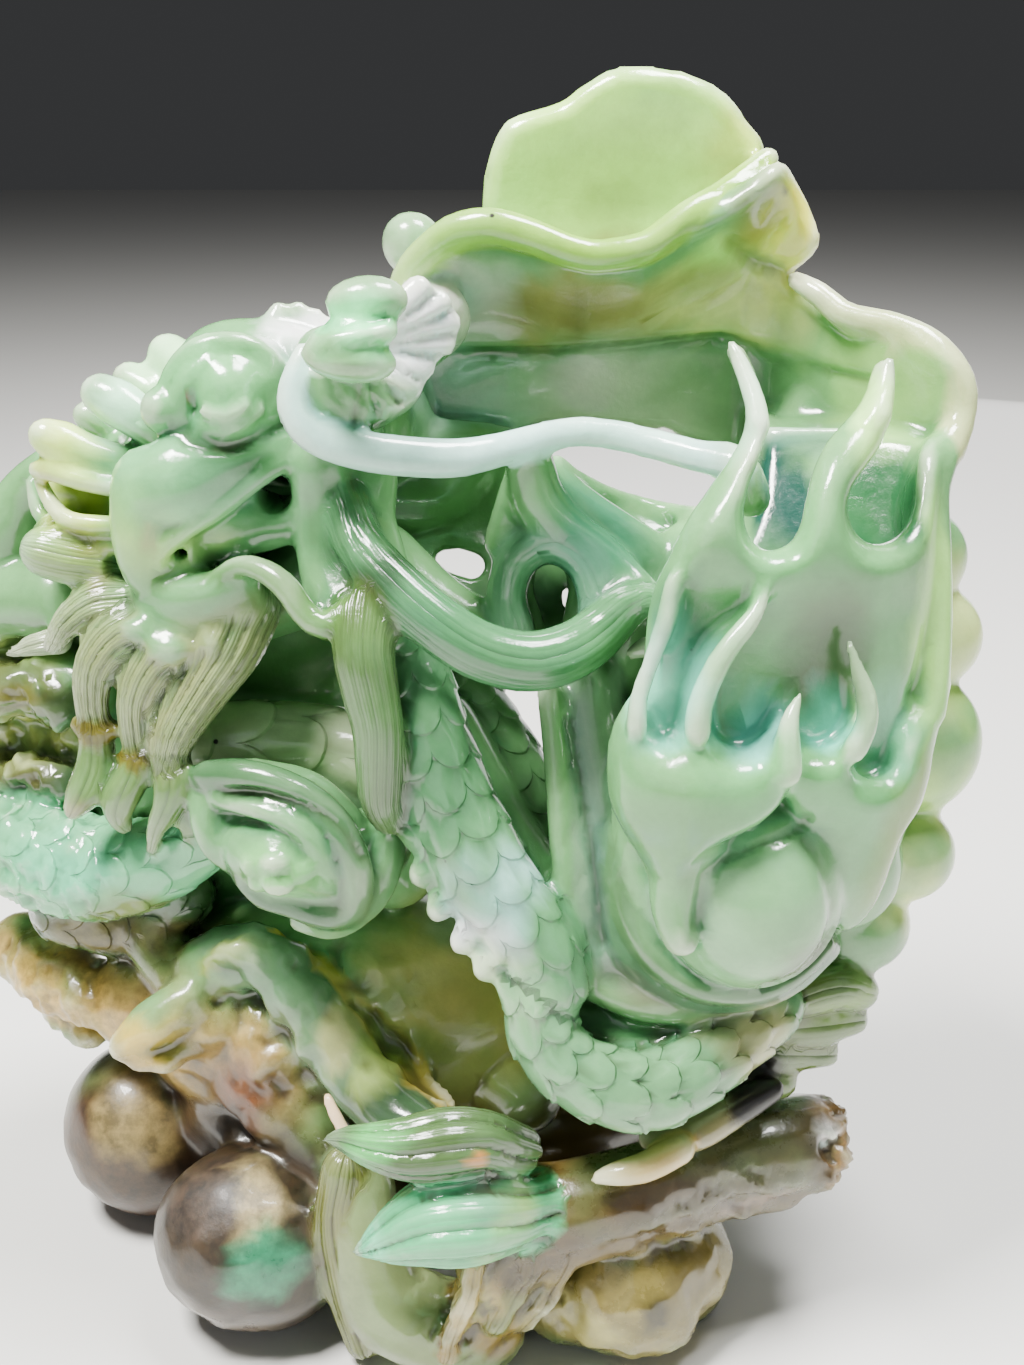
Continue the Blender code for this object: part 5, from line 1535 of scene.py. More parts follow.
    def model(self, clay: Clay) -> None:
        """Adds the body's bars."""
        clay.runs(*self.left, *self.shelves, *self.behind, *self.slope)
        clay.runs(self.slanting, self.slant_bed, self.back_piece, self.bulge, self.bend, self.bend_bed)
        clay.balls(*((place, self.tooth) for place in self.teeth))

    def carve(self, skin: Skin) -> None:
        """Lays the scales on the body wherever it shows."""
        skin.scales(self.left[0], 6, 0.45)
        skin.roughen((-68, -16, 75), (24, 16, 13), 5, 0.4, 61)
        skin.scales(self.behind[0], 9, 0.6)
        skin.scales(self.slanting, 5.6, 0.65)
        skin.scales(self.back_piece, 5, 0.6)
        skin.scales(self.bend, 5.4, 0.9)
        skin.scales(self.left[1], 5.5, 0.6)


@dataclass
class CloudCurl(Part):
    """The curled cloud below the beard."""

    rim: Run = (
        (-37, -30, 96.5, 2.4), (-31, -33, 98, 2.5), (-24.5, -35, 97, 2.5), (-19.5, -36, 94.2, 2.5),
        (-16, -37, 89.5, 2.5), (-14.5, -37, 83, 2.5), (-16, -36, 77.4, 2.4), (-20, -36, 76.4, 2.4),
        (-25, -36, 78.3, 2.2), (-29, -36, 79.6, 2), (-32, -35, 82.5, 1.8),
    )
    inner: Run = (
        (-34.8, -32, 94, 1.9), (-29.5, -35.6, 94, 1.6), (-24.4, -37.6, 93, 1.5), (-21, -38.6, 90.4, 1.5),
        (-19.2, -38.6, 86.2, 1.5), (-18.8, -37.4, 81.6, 1.3),
    )
    pad: tuple[Run, ...] = (
        ((-30, -34.6, 86.4, 4.6), (-25.4, -35.6, 86, 5.8), (-21.4, -35.4, 84, 4.6)),
        ((-24, -34, 80.6, 3), (-19.6, -34.6, 79.4, 3), (-17, -34.6, 84, 3)),
    )
    lumps: tuple[Ball, ...] = (
        ((-29.4, -39.2, 86.6), (2, 1.4, 1.8)), ((-26, -40.6, 87.6), (2.2, 1.6, 1.6)),
        ((-25.6, -41, 84.2), (2.4, 1.6, 1.6)), ((-22.2, -40, 85.6), (1.8, 1.4, 2)),
        ((-28.6, -39, 83.4), (2, 1.4, 1.4)),
    )
    bed: tuple[Run, ...] = (
        ((-34, -27, 88, 6), (-26, -27, 84.5, 9), (-18.5, -28, 81, 8), (-13.5, -27, 83, 6.4)),
        ((-31, -29, 94, 4.6), (-23, -30.6, 92.6, 4.8), (-18, -31.6, 88, 4.8)),
    )
    finger: Run = ((-36.5, -28, 95, 2.2), (-37.4, -31, 90.6, 2.6), (-36, -32, 86, 2.6), (-33.4, -32, 83, 2.2))
    hem: Run = (
        (-24, -33, 73.6, 2), (-18.5, -34, 73, 2), (-13, -33, 77.4, 2.5), (-11, -31, 83, 3),
        (-10.5, -30, 87.5, 2.5),
    )
    # dull green on the rim, clearer on the pad
    patches: Patches = (
        Tint((-25, -33, 85), (16, 11, 14), "#659E67", 0.8),
        Wash(rim, "#164524", 0.7),
        Tint((-26, -38, 85.6), (7, 6, 5), "#79C26F", 0.8),
        Tint((-15, -36, 82), (4, 6, 7), "#6F9367", 0.7),
    )

    def model(self, clay: Clay) -> None:
        """Adds the curl."""
        clay.runs(self.rim, *self.pad, *self.bed, self.finger, self.hem)

    def trim(self, clay: Clay) -> None:
        """Adds the inner ridge and the bumps on the pad."""
        clay.runs(self.inner)
        clay.balls(*self.lumps)

    def carve(self, skin: Skin) -> None:
        """Cuts the groove inside the rim."""
        skin.incise(tuple((x + 2.4, y - 1, z - 2.6, 1) for x, y, z, _ in self.rim[:5]), 0.9, 0.8)


@dataclass
class Leaf(Part):
    """The tall leaf beside the slanting body and the small buds and petals round it."""

    forms: tuple[Run, ...] = (
        ((13.5, -24, 107.5, 2), (14.5, -28, 98, 2), (15.5, -32, 87, 2.2), (17, -35, 76.5, 2.5),
         (19.5, -38, 67, 2.5)),
        ((20, -20, 107.5, 4.5), (21.5, -24, 96, 5), (23, -28, 84.5, 5.5), (25, -32, 74, 5.5),
         (29, -36, 66, 5)),
        ((19.5, -38, 65.5, 2.5), (27.5, -39, 63, 3), (36.5, -38, 62, 3), (46, -34, 62, 3)),
        ((22, -10, 108.5, 5.5), (26, -12, 102.5, 5.5), (28, -16, 96, 6.5)),
        ((17, -22, 104, 3.4), (18, -27, 92, 3.8), (20, -32, 80, 4.2), (22.5, -35, 70, 4)),
    )
    bud: Run = ((30, -24, 114.4, 1.7), (28, -25, 115, 1.9), (25.6, -24.6, 113.6, 1.2))
    petals: tuple[Run, ...] = (
        ((29, -43, 41, 2), (35.5, -42, 41, 3), (41.5, -40, 43.5, 3), (48.5, -37, 45.5, 2.2)),
        ((20.6, -50, 39.4, 1.2), (23.6, -50, 40.2, 2), (28, -49, 40.6, 2.4), (33.5, -46, 41.5, 2.5)),
        ((50.5, -28, 56, 3.8), (59, -26, 57.5, 4), (64.5, -24, 55, 3.2)),
        ((51, -29, 52, 3.5), (57.5, -27, 51, 3.8), (63.5, -25, 50, 2.6)),
        ((50, -30, 48, 3.5), (55.5, -28, 46, 3), (59, -27, 45, 2.4)),
        ((43.5, -33, 44, 3.2), (51, -31, 42.5, 3)),
    )
    midrib: Run = ((16.4, -27.6, 104, 0.8), (18.4, -31, 94, 1), (20, -34.4, 84, 1), (21.4, -38, 73, 1))
    veins: tuple[Run, ...] = (
        ((17.4, -29, 99, 0.5), (14.8, -30, 94, 0.5)), ((18.6, -32, 92, 0.5), (15.6, -33, 86.6, 0.5)),
        ((19.8, -34.6, 85, 0.5), (16.8, -36, 79.6, 0.5)), ((20.8, -37, 77.6, 0.5), (18.4, -39, 72, 0.5)),
    )
    # aqua on the tall leaf, dull lime on the petals, a black-brown stain at their root
    patches: Patches = (
        Wash(forms[1], "#5A785C", 0.8),
        Wash(forms[4], "#7E9284", 0.6),
        Tint((28, -38, 65), (10, 8, 5), "#878A6C", 0.7),
        *(Wash(stations, "#56621E", 0.8) for stations in petals[2:]),
        Tint((60, -30, 55), (8, 7, 3), "#7B9F2F", 0.6),
        Wash(petals[0], "#947F5B", 0.9),
        Wash(petals[1], "#E6BC74", 0.8),
        Tint((47.6, -39.6, 48.6), (7.4, 8, 5.6), "#1A1612", 1.0, 0.3, 0.5),
    )

    def model(self, clay: Clay) -> None:
        """Adds the leaf, the petals and the bud."""
        clay.runs(*self.forms, *self.petals, self.bud)

    def carve(self, skin: Skin) -> None:
        """Draws the leaf's midrib and veins and the petals' ribs."""
        skin.incise(self.midrib, 0.7, 0.8)
        for vein in self.veins:
            skin.incise(vein, 0.4, 0.6)
        for stations in self.petals[2:5]:
            skin.hair(stations, 5, 0.2)


@dataclass
class Base(Part):
    """The rock, the log and the seed pods that the dragon rests on."""

    log: tuple[Run, ...] = (
        ((6, -42, 24, 8), (15.5, -45, 29, 7.4), (28, -42, 30.5, 7), (41.5, -36, 31, 7), (50, -33, 31, 7.6),
         (56.5, -30, 29.5, 8.2)),
        ((9, -48, 22.6, 4.4), (21.5, -46, 25.2, 4), (33, -42, 26, 4), (41.5, -38, 25.6, 4), (52, -34, 24, 4)),
    )
    pods: tuple[Run, ...] = (
        ((-19.4, -50, 46.6, 0.9), (-16.5, -50.5, 47, 2.2), (-12.5, -51.5, 46.8, 3.6), (-7, -52, 46.6, 5),
         (-2, -51.5, 47, 5.6), (3.5, -50, 46.2, 5), (9, -46, 41.5, 4)),
        ((-15.8, -52, 27, 0.8), (-13, -53, 29.4, 2.4), (-9.5, -54, 32.2, 4.6), (-4, -54, 34.8, 6.8),
         (2, -53.4, 35.2, 7.2), (8, -50, 33, 5.8), (13, -46, 31, 4.5)),
    )
    calyx: tuple[Run, ...] = (
        ((12.5, -45, 30, 6.5), (6, -46, 20, 6.5), (4.5, -46, 9.5, 5.5), (4, -44, 3, 4)),
        ((9, -51, 30, 2), (11, -51, 24, 2.2), (8, -51.4, 18, 2), (5.4, -51.6, 12, 1.8)),
        ((14, -50, 30, 1.8), (16.4, -49, 24, 2), (14, -48.6, 17, 2), (10, -49, 10, 1.8)),
        ((2.6, -52.6, 27, 1.6), (1.6, -53, 21, 1.8), (-0.6, -52.4, 14, 1.8), (-2, -52, 7, 1.6)),
    )
    leaf_mass: tuple[Run, ...] = (
        ((-16.5, -38, 28.5, 6), (-16, -41, 20, 6.5), (-13, -43.4, 10.5, 7.5), (-5, -45, 6, 7.6),
         (3, -45, 5, 7)),
        ((-18.6, -40.4, 33, 3.6), (-20.4, -42, 24, 3.2), (-19, -44, 13, 3.2), (-16, -46.6, 3.6, 3)),
    )
    rock: tuple[Run, ...] = (
        ((-41, -17, 45, 10.5), (-30, -19, 43, 12)),
        ((-33, -23, 38, 8.5), (-25, -28, 29, 7), (-22, -31, 20, 6)),
        ((-54.5, -11, 45, 10.3), (-39.5, -15.5, 49.5, 10)),
        ((-80, 2, 47, 6.5), (-70, -8, 47, 7), (-61.5, -14, 45.5, 4.5)),
        ((-72, -5, 39.5, 4.6), (-66, -9, 36.5, 3.4)),
        ((-44, -26, 54.5, 4), (-49.5, -28, 51.2, 4.3), (-54.4, -29, 48, 2.6)),
        ((-40, -26, 49, 3.5), (-45.5, -28, 46.5, 3.2), (-52, -29, 46, 2.4)),
        ((-52.5, -13.5, 60, 5.5), (-48.5, -18, 56, 4.5), (-43, -22, 54.5, 4)),
    )
    limb: tuple[Run, ...] = (
        ((-39, -21, 61.5, 3.6), (-32.5, -23, 61, 5), (-26, -26, 54.5, 5), (-19, -30, 46.5, 5.4),
         (-12, -35, 40.5, 5.2), (-5, -40, 39, 4.2)),
        ((-30, -22, 62.4, 2.2), (-24.5, -22.5, 57.6, 2.6), (-17.5, -25, 51, 2.8), (-10, -29, 44.5, 2.8),
         (-3.4, -33, 39.6, 3)),
        ((-36, -17, 56, 6), (-24, -19, 49, 7), (-12, -26, 38, 7)),
    )
    hook: Run = (
        (-42, -24, 58.5, 1.2), (-39.6, -25, 61.4, 1.4), (-36.8, -26.2, 63.6, 1.8), (-33.4, -26.8, 63.8, 2.4),
        (-31.6, -26.6, 61.6, 2.1), (-32.6, -26, 59.6, 1.4),
    )
    hook_bed: Run = ((-42, -21, 58, 5), (-35, -22, 60.5, 5.4))
    inner_leaf: Run = ((-20, -18, 58, 1.4), (-14, -19, 54.4, 1.8), (-7, -21, 48, 2), (-1, -24, 42, 2))
    inner_flat: float = 0.8
    leaf_hollow: Run = (
        (-17.6, -26, 54.4, 1), (-12, -28, 49.4, 2.4), (-6, -31, 44, 2.8), (-1.6, -33, 40.4, 2),
    )
    bulbs: tuple[LeaningBall, ...] = (
        ((-34.4, -36, 15.2), (16.4, 14, 14.8), 24.0), ((-58.4, -8.4, 15.6), (14.4, 14.6, 16), -12.0),
    )
    heel: Run = ((-48, -8, 6, 5), (-40, -18, 5, 6))
    lap: Run = ((-46, -10, 20, 8), (-41, -16, 26, 7.5), (-36, -21, 25, 7))
    low_right: tuple[Run, ...] = (
        ((17, -40, 7, 8), (27, -40.5, 11, 12.6), (33, -38, 13, 11)), ((36, -34, 5, 8), (22, -34, 4, 8)),
    )
    shard: Run = ((-20.6, -39, 45.4, 0.9), (-19.2, -40.6, 43.2, 1.1), (-17.2, -42, 40, 1))
    heart: tuple[Ball, ...] = (
        ((-8, 4, 16), (52, 28, 17)), ((-20, -8, 40), (38, 21, 24)), ((18, 2, 40), (42, 22, 26)),
        ((52, 4, 62), (20, 15, 30)), ((59, 0, 100), (15, 11, 32)), ((59, 7, 136), (10, 6, 13)),
        ((-44, 8, 78), (30, 18, 28)), ((-42, 9, 112), (28, 14, 28)), ((-20, 7, 138), (16, 9, 17)),
    )
    broken: tuple[Ball, ...] = (
        ((64.5, -29, 31), (2.6, 7, 6)), ((62.6, -33, 24.6), (3, 5, 3.4)), ((60, -36.5, 33.6), (3.6, 2, 2.6)),
    )
    # tan and brown rock with rust, turquoise pods, and bulbs with cream and teal patches
    patches: Patches = (
        Tint((0, 4, 12), (100, 60, 32), "#483C1B", 1.0, 0.3),
        Tint((-44, -18, 40), (24, 24, 20), "#A0864A", 1.0, 0.4, 0.35),
        Tint((-36, -30, 36), (11, 13, 10), "#5D351E", 0.95, 0.6, 0.35),
        Tint((-68, -8, 46), (18, 16, 9), "#C1994A", 0.9, 0.5, 0.5),
        Tint((-81, 3, 47), (11, 11, 9), "#A98A4F", 0.9, 0.4, 0.4),
        Tint((-50, -28, 51), (8, 7, 5), "#DFBF46", 0.9),
        Tint((-46, -29, 48.6), (5, 6, 2.2), "#1A3E13", 0.8),
        Wash(hook, "#97A541", 0.9),
        Wash(limb[0], "#5B785B", 0.85, 1.4),
        Wash(limb[1], "#EAC64F", 0.8, 1.4),
        Tint((-9, -36, 44.5), (8, 8, 6), "#243921", 0.8),
        Tint((-31, -26, 61), (6, 7, 5), "#5C885D", 0.8),
        Tint((-20, -30, 52), (5, 7, 5), "#E0DB92", 0.6),
        Tint((-12, -28, 47), (5, 9, 7), "#B5CC6E", 0.8),
        Tint((-40, -38, 41), (1.2, 6, 1.2), "#7F4E21", 0.9, 0.4),
        Tint((-31.5, -37, 42), (1.4, 7, 1), "#7B481E", 0.9, 0.4),
        Tint((-33.6, -36, 39), (1, 6, 1.4), "#77441E", 0.8, 0.4),
        Tint((-45, -34, 38), (1.2, 6, 1), "#7F4E21", 0.8, 0.4),
        Wash(lap, "#473324", 0.95, 1.5),
        Tint((-59, -9, 13), (21, 22, 23), "#382412", 1.0, 0.25, 0.5),
        Tint((-57.4, -20, 25), (7.4, 8, 8), "#7F6F45", 0.9, 0.4, 0.6),
        Tint((-61, -22, 16), (9, 8, 5), "#402E1B", 0.8, 0.4, 0.6),
        Tint((-35, -36, 14), (23, 22, 22), "#2C2113", 1.0, 0.2, 0.5),
        Tint((-41, -41, 28.4), (8, 8, 8), "#34281E", 0.95, 0.25, 0.95),
        Tint((-32, -43.4, 27.4), (4.6, 7, 7), "#92825A", 0.9, 0.35, 0.6),
        Tint((-28.4, -47, 20.4), (7, 8, 4.6), "#2C7F5A", 0.9, 0.4, 0.3),
        Tint((-38, -48, 8), (12, 7, 5), "#6A5E52", 0.6),
        Wash(leaf_mass[0], "#859663", 0.9),
        Wash(leaf_mass[1], "#646729", 0.9),
        Wash(calyx[0], "#876A23", 0.9),
        Wash(calyx[1], "#6B751F", 0.8),
        Wash(calyx[2], "#7B7456", 0.8),
        Wash(calyx[3], "#967517", 0.8),
        Tint((10, -54, 31), (4, 5, 4), "#786C37", 0.7),
        Tint((3, -53, 19), (5, 6, 6), "#DABD69", 0.6),
        Wash(log[0], "#4F3C1D", 0.95, 1.5, 0.3),
        Wash(log[1], "#5A4928", 0.95, 1.5, 0.3),
        Tint((30, -46, 34), (9, 8, 3), "#4C3114", 0.6),
        Tint((62, -31, 30), (5, 10, 10), "#98784B", 0.9, 0.5, 0.6),
        Tint((60, -36, 35), (3, 5, 2.4), "#F3F3F4", 0.7, 0.5, 0.5),
        Tint((46, -39, 27), (8, 6, 1.6), "#8F7765", 0.6),
        Tint((41, -43, 31), (8, 7, 3.5), "#4D3815", 0.5),
        Tint((57.6, -38, 30.6), (4, 5, 5), "#3D2B15", 0.7, 0.5, 0.6),
        Wash(pods[0], "#425730", 0.95, 1.25),
        Tint((-12, -54, 47), (7, 5, 4.6), "#65CE6F", 0.7),
        Wash(pods[1], "#52BC80", 0.95, 1.25),
        Tint((6, -54, 35), (5, 6, 6), "#A8C069", 0.7),
        Tint((5, -56, 40.6), (5, 5, 3), "#5C9173", 0.6),
        Tint((-12, -56, 31), (4, 5, 4), "#5FF2B5", 0.6),
        Tint((3.3, -56, 46.8), (1.2, 4, 1.2), "#B47939", 0.95, 0.25),
        Wash(shard, "#F38F12", 0.95),
        Tint((28, -44, 12), (20, 16, 14), "#85753E", 0.9, 0.3, 0.3),
        Tint((18, -50, 8), (8, 8, 6), "#C4BD74", 0.6),
        Tint((36, -48, 16), (6, 9, 8), "#675B2F", 0.8),
        Tint((30, -52, 14), (2.6, 4, 3.4), "#2D2812", 0.85, 0.4),
    )

    def model(self, clay: Clay) -> None:
        """Adds the rock, the log, the pods and the mass behind them."""
        clay.runs(*self.log, *self.pods, *self.calyx, *self.leaf_mass, *self.rock, *self.low_right)
        clay.runs(*self.limb, self.hook, self.hook_bed)
        clay.runs(self.inner_leaf, flat=self.inner_flat)
        clay.balls(*self.bulbs)
        clay.runs(self.heel, self.lap)
        clay.balls(*self.heart)

    def cut(self, cutters: Clay) -> None:
        """Hollows the leaf beside the rock and breaks the log's end."""
        cutters.runs(self.leaf_hollow)
        cutters.balls(*self.broken)

    def trim(self, clay: Clay) -> None:
        """Adds the loose shard."""
        clay.runs(self.shard)

    def carve(self, skin: Skin) -> None:
        """Cuts the pods' ribs and roughens the rock, the bulbs and the log's broken end."""
        skin.hair(self.pods[0], 3.8, 0.65, wave=0.3)
        skin.hair(self.pods[1], 4.2, 0.75, wave=0.3)
        skin.roughen((-24, -28, 54), (22, 14, 18), 9, 0.5, 47)
        skin.roughen((-76, -8, 95), (14, 14, 15), 6, 0.7, 67)
        skin.hair(self.leaf_mass[1], 2.6, 0.4)
        for stations in self.calyx[1:]:
            skin.hair(stations, 3, 0.3)
        skin.roughen((-40, -22, 42), (18, 20, 17), 13, 0.5, 11)
        skin.roughen((-36, -36, 16), (17, 17, 17), 12, 0.3, 23)
        skin.roughen((-60, -8, 13), (15, 16, 17), 12, 0.3, 29)
        skin.roughen((-72, -6, 44), (18, 16, 12), 7, 0.5, 31)
        skin.roughen((62, -30, 29), (7, 11, 10), 3, 0.5, 37)
        skin.roughen((28, -42, 12), (18, 14, 13), 9, 0.35, 41)
        skin.roughen((34, -43, 28), (26, 8, 8), 7, 0.45, 59)
        skin.roughen((4, -48, 14), (14, 10, 16), 5, 0.3, 43)


@dataclass
class Back(Part):
    """The back, plainer: the body's long bend, cloud scrolls and the rock behind."""

    body: Run = (
        (-14, 11, 146, 7), (-30, 15, 136, 9), (-46, 18, 120, 11), (-55, 18, 100, 12), (-48, 20, 80, 12.5),
        (-30, 20, 65, 12.5), (-8, 18, 56, 11.5), (16, 18, 52, 10.5), (38, 17, 56, 9), (54, 16, 70, 7.5),
        (59, 12, 88, 5.5), (56, 9, 103, 3.5),
    )
    scrolls: tuple[tuple[Place, float, float, int], ...] = (
        # middle, reach, rope radius, hand
        ((61, 11, 118), 10, 3.2, 1), ((48, 17, 147), 10, 3.0, -1), ((20, 15, 156), 9, 2.8, 1),
        ((-22, 18, 118), 9, 3.0, -1), ((-66, 16, 62), 9, 3.0, 1), ((30, 26.5, 22), 11, 3.4, -1),
        ((-32, 27, 24), 12, 3.7, 1),
    )
    turns: float = 1.6
    steps: int = 14
    # brown on the rock behind, dull green on the coil above it
    patches: Patches = (
        Tint((0, 26, 14), (100, 22, 30), "#483C1B", 0.9, 0.3, 0.3),
        Tint((-30, 24, 70), (30, 14, 14), "#6C8F73", 0.6),
        Tint((40, 22, 60), (24, 14, 14), "#829B76", 0.6),
    )

    def scroll(self, middle: Place, reach: float, rope: float, hand: int) -> Run:
        """The stations of a rope that winds inwards in the XZ plane.

        Args:
            middle: the scroll's middle.
            reach: the radius it starts at.
            rope: the rope's own radius at its start.
            hand: 1 or -1, the way that it turns.

        Returns:
            The stations of its run.
        """
        rows = []
        for step in range(self.steps + 1):
            share = step / self.steps
            turn = hand * share * self.turns * math.tau
            arm = reach * (1 - 0.85 * share)
            spot = (middle[0] + arm * math.cos(turn), middle[1], middle[2] + arm * math.sin(turn))
            rows.append((*spot, rope * (1 - 0.35 * share)))
        return tuple(rows)

    def model(self, clay: Clay) -> None:
        """Adds the bend and the scrolls."""
        clay.runs(self.body, *(self.scroll(*scroll) for scroll in self.scrolls))

    def carve(self, skin: Skin) -> None:
        """Lays scales on the bend and roughens the rock behind."""
        skin.scales(self.body, 8, 1.0)
        skin.roughen((0, 26, 20), (60, 16, 22), 8, 0.4, 53)


class Colour:
    """sRGB hex colours turned into the linear light that shaders work in."""

    @staticmethod
    def linear(code: str) -> np.ndarray:
        """Linear red, green and blue of a colour such as "#A8D4C0"."""
        values = np.array([int(code[place:place + 2], 16) for place in (1, 3, 5)]) / 255
        return np.where(values <= 0.04045, values / 12.92, ((values + 0.055) / 1.055) ** 2.4)


@dataclass(frozen=True)
class Nodes:
    """A material's node tree, with the one way that nodes and sums are added to it."""

    tree: bpy.types.NodeTree

    def add(self, kind: str, links: dict[str, object] | None = None, **settings: object) -> bpy.types.Node:
        """Adds a node.

        Args:
            kind: Blender's name of the node's type.
            links: for each input, by name or number, a socket to link from or a value to set.
            settings: the node's own properties.

        Returns:
            The node.
        """
        made = self.tree.nodes.new(kind)
        for key, value in settings.items():
            setattr(made, key, value)
        self.feed(made, links or {})
        return made

    def feed(self, node: bpy.types.Node, links: dict[str, object]) -> None:
        """Links or sets the node's inputs, each by name or number."""
        for key, value in links.items():
            socket = node.inputs[int(key)] if key.isdigit() else node.inputs[key]
            if isinstance(value, bpy.types.NodeSocket):
                self.tree.links.new(value, socket)
            else:
                socket.default_value = value

    def sum(self, operation: str, *terms: object) -> bpy.types.NodeSocket:
        """The result of one sum on sockets or numbers."""
        links = {str(index): term for index, term in enumerate(terms)}
        return self.add("ShaderNodeMath", links, operation=operation).outputs["Value"]


@dataclass(frozen=True)
class Noise:
    """One noise in the stone."""

    per_metre: float
    detail: float
    roughness: float
    warp: float = 0.0

    def links(self, spot: bpy.types.NodeSocket) -> dict[str, object]:
        """The inputs of its node, with the point that it's read at."""
        return {"Vector": spot, "Scale": self.per_metre, "Detail": self.detail, "Roughness": self.roughness,
                "Distortion": self.warp}


@dataclass(frozen=True)
class PolishedCalcite:
    """Polished translucent green calcite: light soaks in a few millimetres and wets the gloss above it."""

    name: str = "polished_translucent_green_calcite"
    ior: float = 1.58
    gloss: float = 0.16
    matte: float = 0.55
    coat: float = 0.5  # the wet gloss of the polish, which weathered stone has lost
    coat_roughness: float = 0.05
    soak: float = 0.18
    soak_depth: Place = (0.0045, 0.0065, 0.0055)  # metres, red to blue
    soak_scale: float = 0.005
    depth_colour: str = "#8A9C8C"  # painted shade: hollows are darkened towards this grey-green, as if in shade
    dirt_colour: str = "#4A3A2A"
    speck_colour: str = "#2B2A26"  # small black specks of mineral, under a millimetre
    paler: tuple[float, ...] = (1.25, 1.25, 1.2, 1)  # how much lighter the clouds in the stone are
    seam_shade: float = 0.22  # how dark the seams between scales are
    line_shade: float = 0.28  # and those between strands
    clouds: Noise = Noise(70.0, 4.0, 0.6, 0.6)  # about 14 mm across
    mottle: Noise = Noise(330.0, 5.0, 0.65)  # about 3 mm
    grain: Noise = Noise(900.0, 4.0, 0.6)  # about 1 mm

    def scale(self, nodes: Nodes, weave: bpy.types.NodeSocket) -> bpy.types.NodeSocket:
        """Height of the overlapping scales, from 0 at a root to 1 at a tip."""
        sum_of = nodes.sum
        parts = nodes.add("ShaderNodeSeparateXYZ", {"Vector": weave}).outputs
        share = sum_of("FRACT", parts["X"])
        odd = sum_of("FRACT", sum_of("MULTIPLY", sum_of("FLOOR", parts["X"]), 0.5))
        offset = sum_of("FRACT", sum_of("ADD", parts["Y"], odd))
        side = sum_of("MULTIPLY", sum_of("ABSOLUTE", sum_of("SUBTRACT", offset, 0.5)), 2.0)
        rest = sum_of("SUBTRACT", 1.0, side)
        bow = sum_of("SQRT", sum_of("SUBTRACT", 1.0, sum_of("MULTIPLY", rest, rest)))
        gap = sum_of("SUBTRACT", sum_of("MULTIPLY", bow, SCALE_LAP), share)
        covers = nodes.add("ShaderNodeMapRange", self.ranged(gap, -0.03, 0.03, 0.0, 1.0)).outputs["Result"]
        return sum_of("DIVIDE", sum_of("ADD", share, covers), 1 + SCALE_LAP)

    def strand(self, nodes: Nodes, weave: bpy.types.NodeSocket) -> bpy.types.NodeSocket:
        """Height of the brushed strands, coarse ones with finer ones between them."""
        sum_of = nodes.sum
        phase = nodes.add("ShaderNodeSeparateXYZ", {"Vector": weave}).outputs["Z"]
        coarse = sum_of("POWER", sum_of("ABSOLUTE", sum_of("SINE", phase)), 0.5)
        finer = sum_of("SINE", sum_of("MULTIPLY", phase, 3.3))
        return sum_of("ADD", coarse, sum_of("MULTIPLY", sum_of("ABSOLUTE", finer), 0.35))

    def ranged(self, value: bpy.types.NodeSocket, low: float, high: float, start: float, end: float) -> dict:
        """The inputs that turn values from low to high into values from start to end."""
        return {"Value": value, "From Min": low, "From Max": high, "To Min": start, "To Max": end}

    def build(self) -> bpy.types.Material:
        """Builds the material from the skin's attributes and noise in real millimetres."""
        stone = bpy.data.materials.new(self.name)
        stone.use_nodes = True
        nodes = Nodes(stone.node_tree)
        add, sum_of, ranged = nodes.add, nodes.sum, self.ranged
        spot = add("ShaderNodeTexCoord").outputs["Object"]
        colour = add("ShaderNodeAttribute", attribute_name="tint").outputs["Color"]
        weave = add("ShaderNodeAttribute", attribute_name="weave").outputs["Vector"]
        hollow, grime, rough, scaled, combed = (
            add("ShaderNodeAttribute", attribute_name=name).outputs["Fac"]
            for name in ("hollow", "grime", "rough", "scaled", "combed")
        )
        scale, strand = self.scale(nodes, weave), self.strand(nodes, weave)
        clouds, mottle, grain = (
            add("ShaderNodeTexNoise", noise.links(spot)).outputs["Fac"]
            for noise in (self.clouds, self.mottle, self.grain)
        )
        light = add("ShaderNodeMapRange", ranged(clouds, 0.3, 0.7, 0.0, 1.0)).outputs["Result"]
        # clouds in the stone are paler; hollows take painted shade from the hollow attribute
        hollow_shade = (*Colour.linear(self.depth_colour), 1)
        for factor, shade in ((sum_of("MULTIPLY", light, 0.6), self.paler), (hollow, hollow_shade)):
            colour = add("ShaderNodeMix", {"Factor": factor, "6": colour, "7": shade}, data_type="RGBA",
                         blend_type="MULTIPLY").outputs[2]
        polished = add("ShaderNodeMapRange", ranged(mottle, 0.25, 0.75, 0.9, 1.07)).outputs["Result"]
        weathered = add("ShaderNodeMapRange", ranged(mottle, 0.36, 0.64, 0.35, 1.8)).outputs["Result"]
        speckle = add("ShaderNodeMix", {"Factor": rough, "2": polished, "3": weathered}).outputs[0]
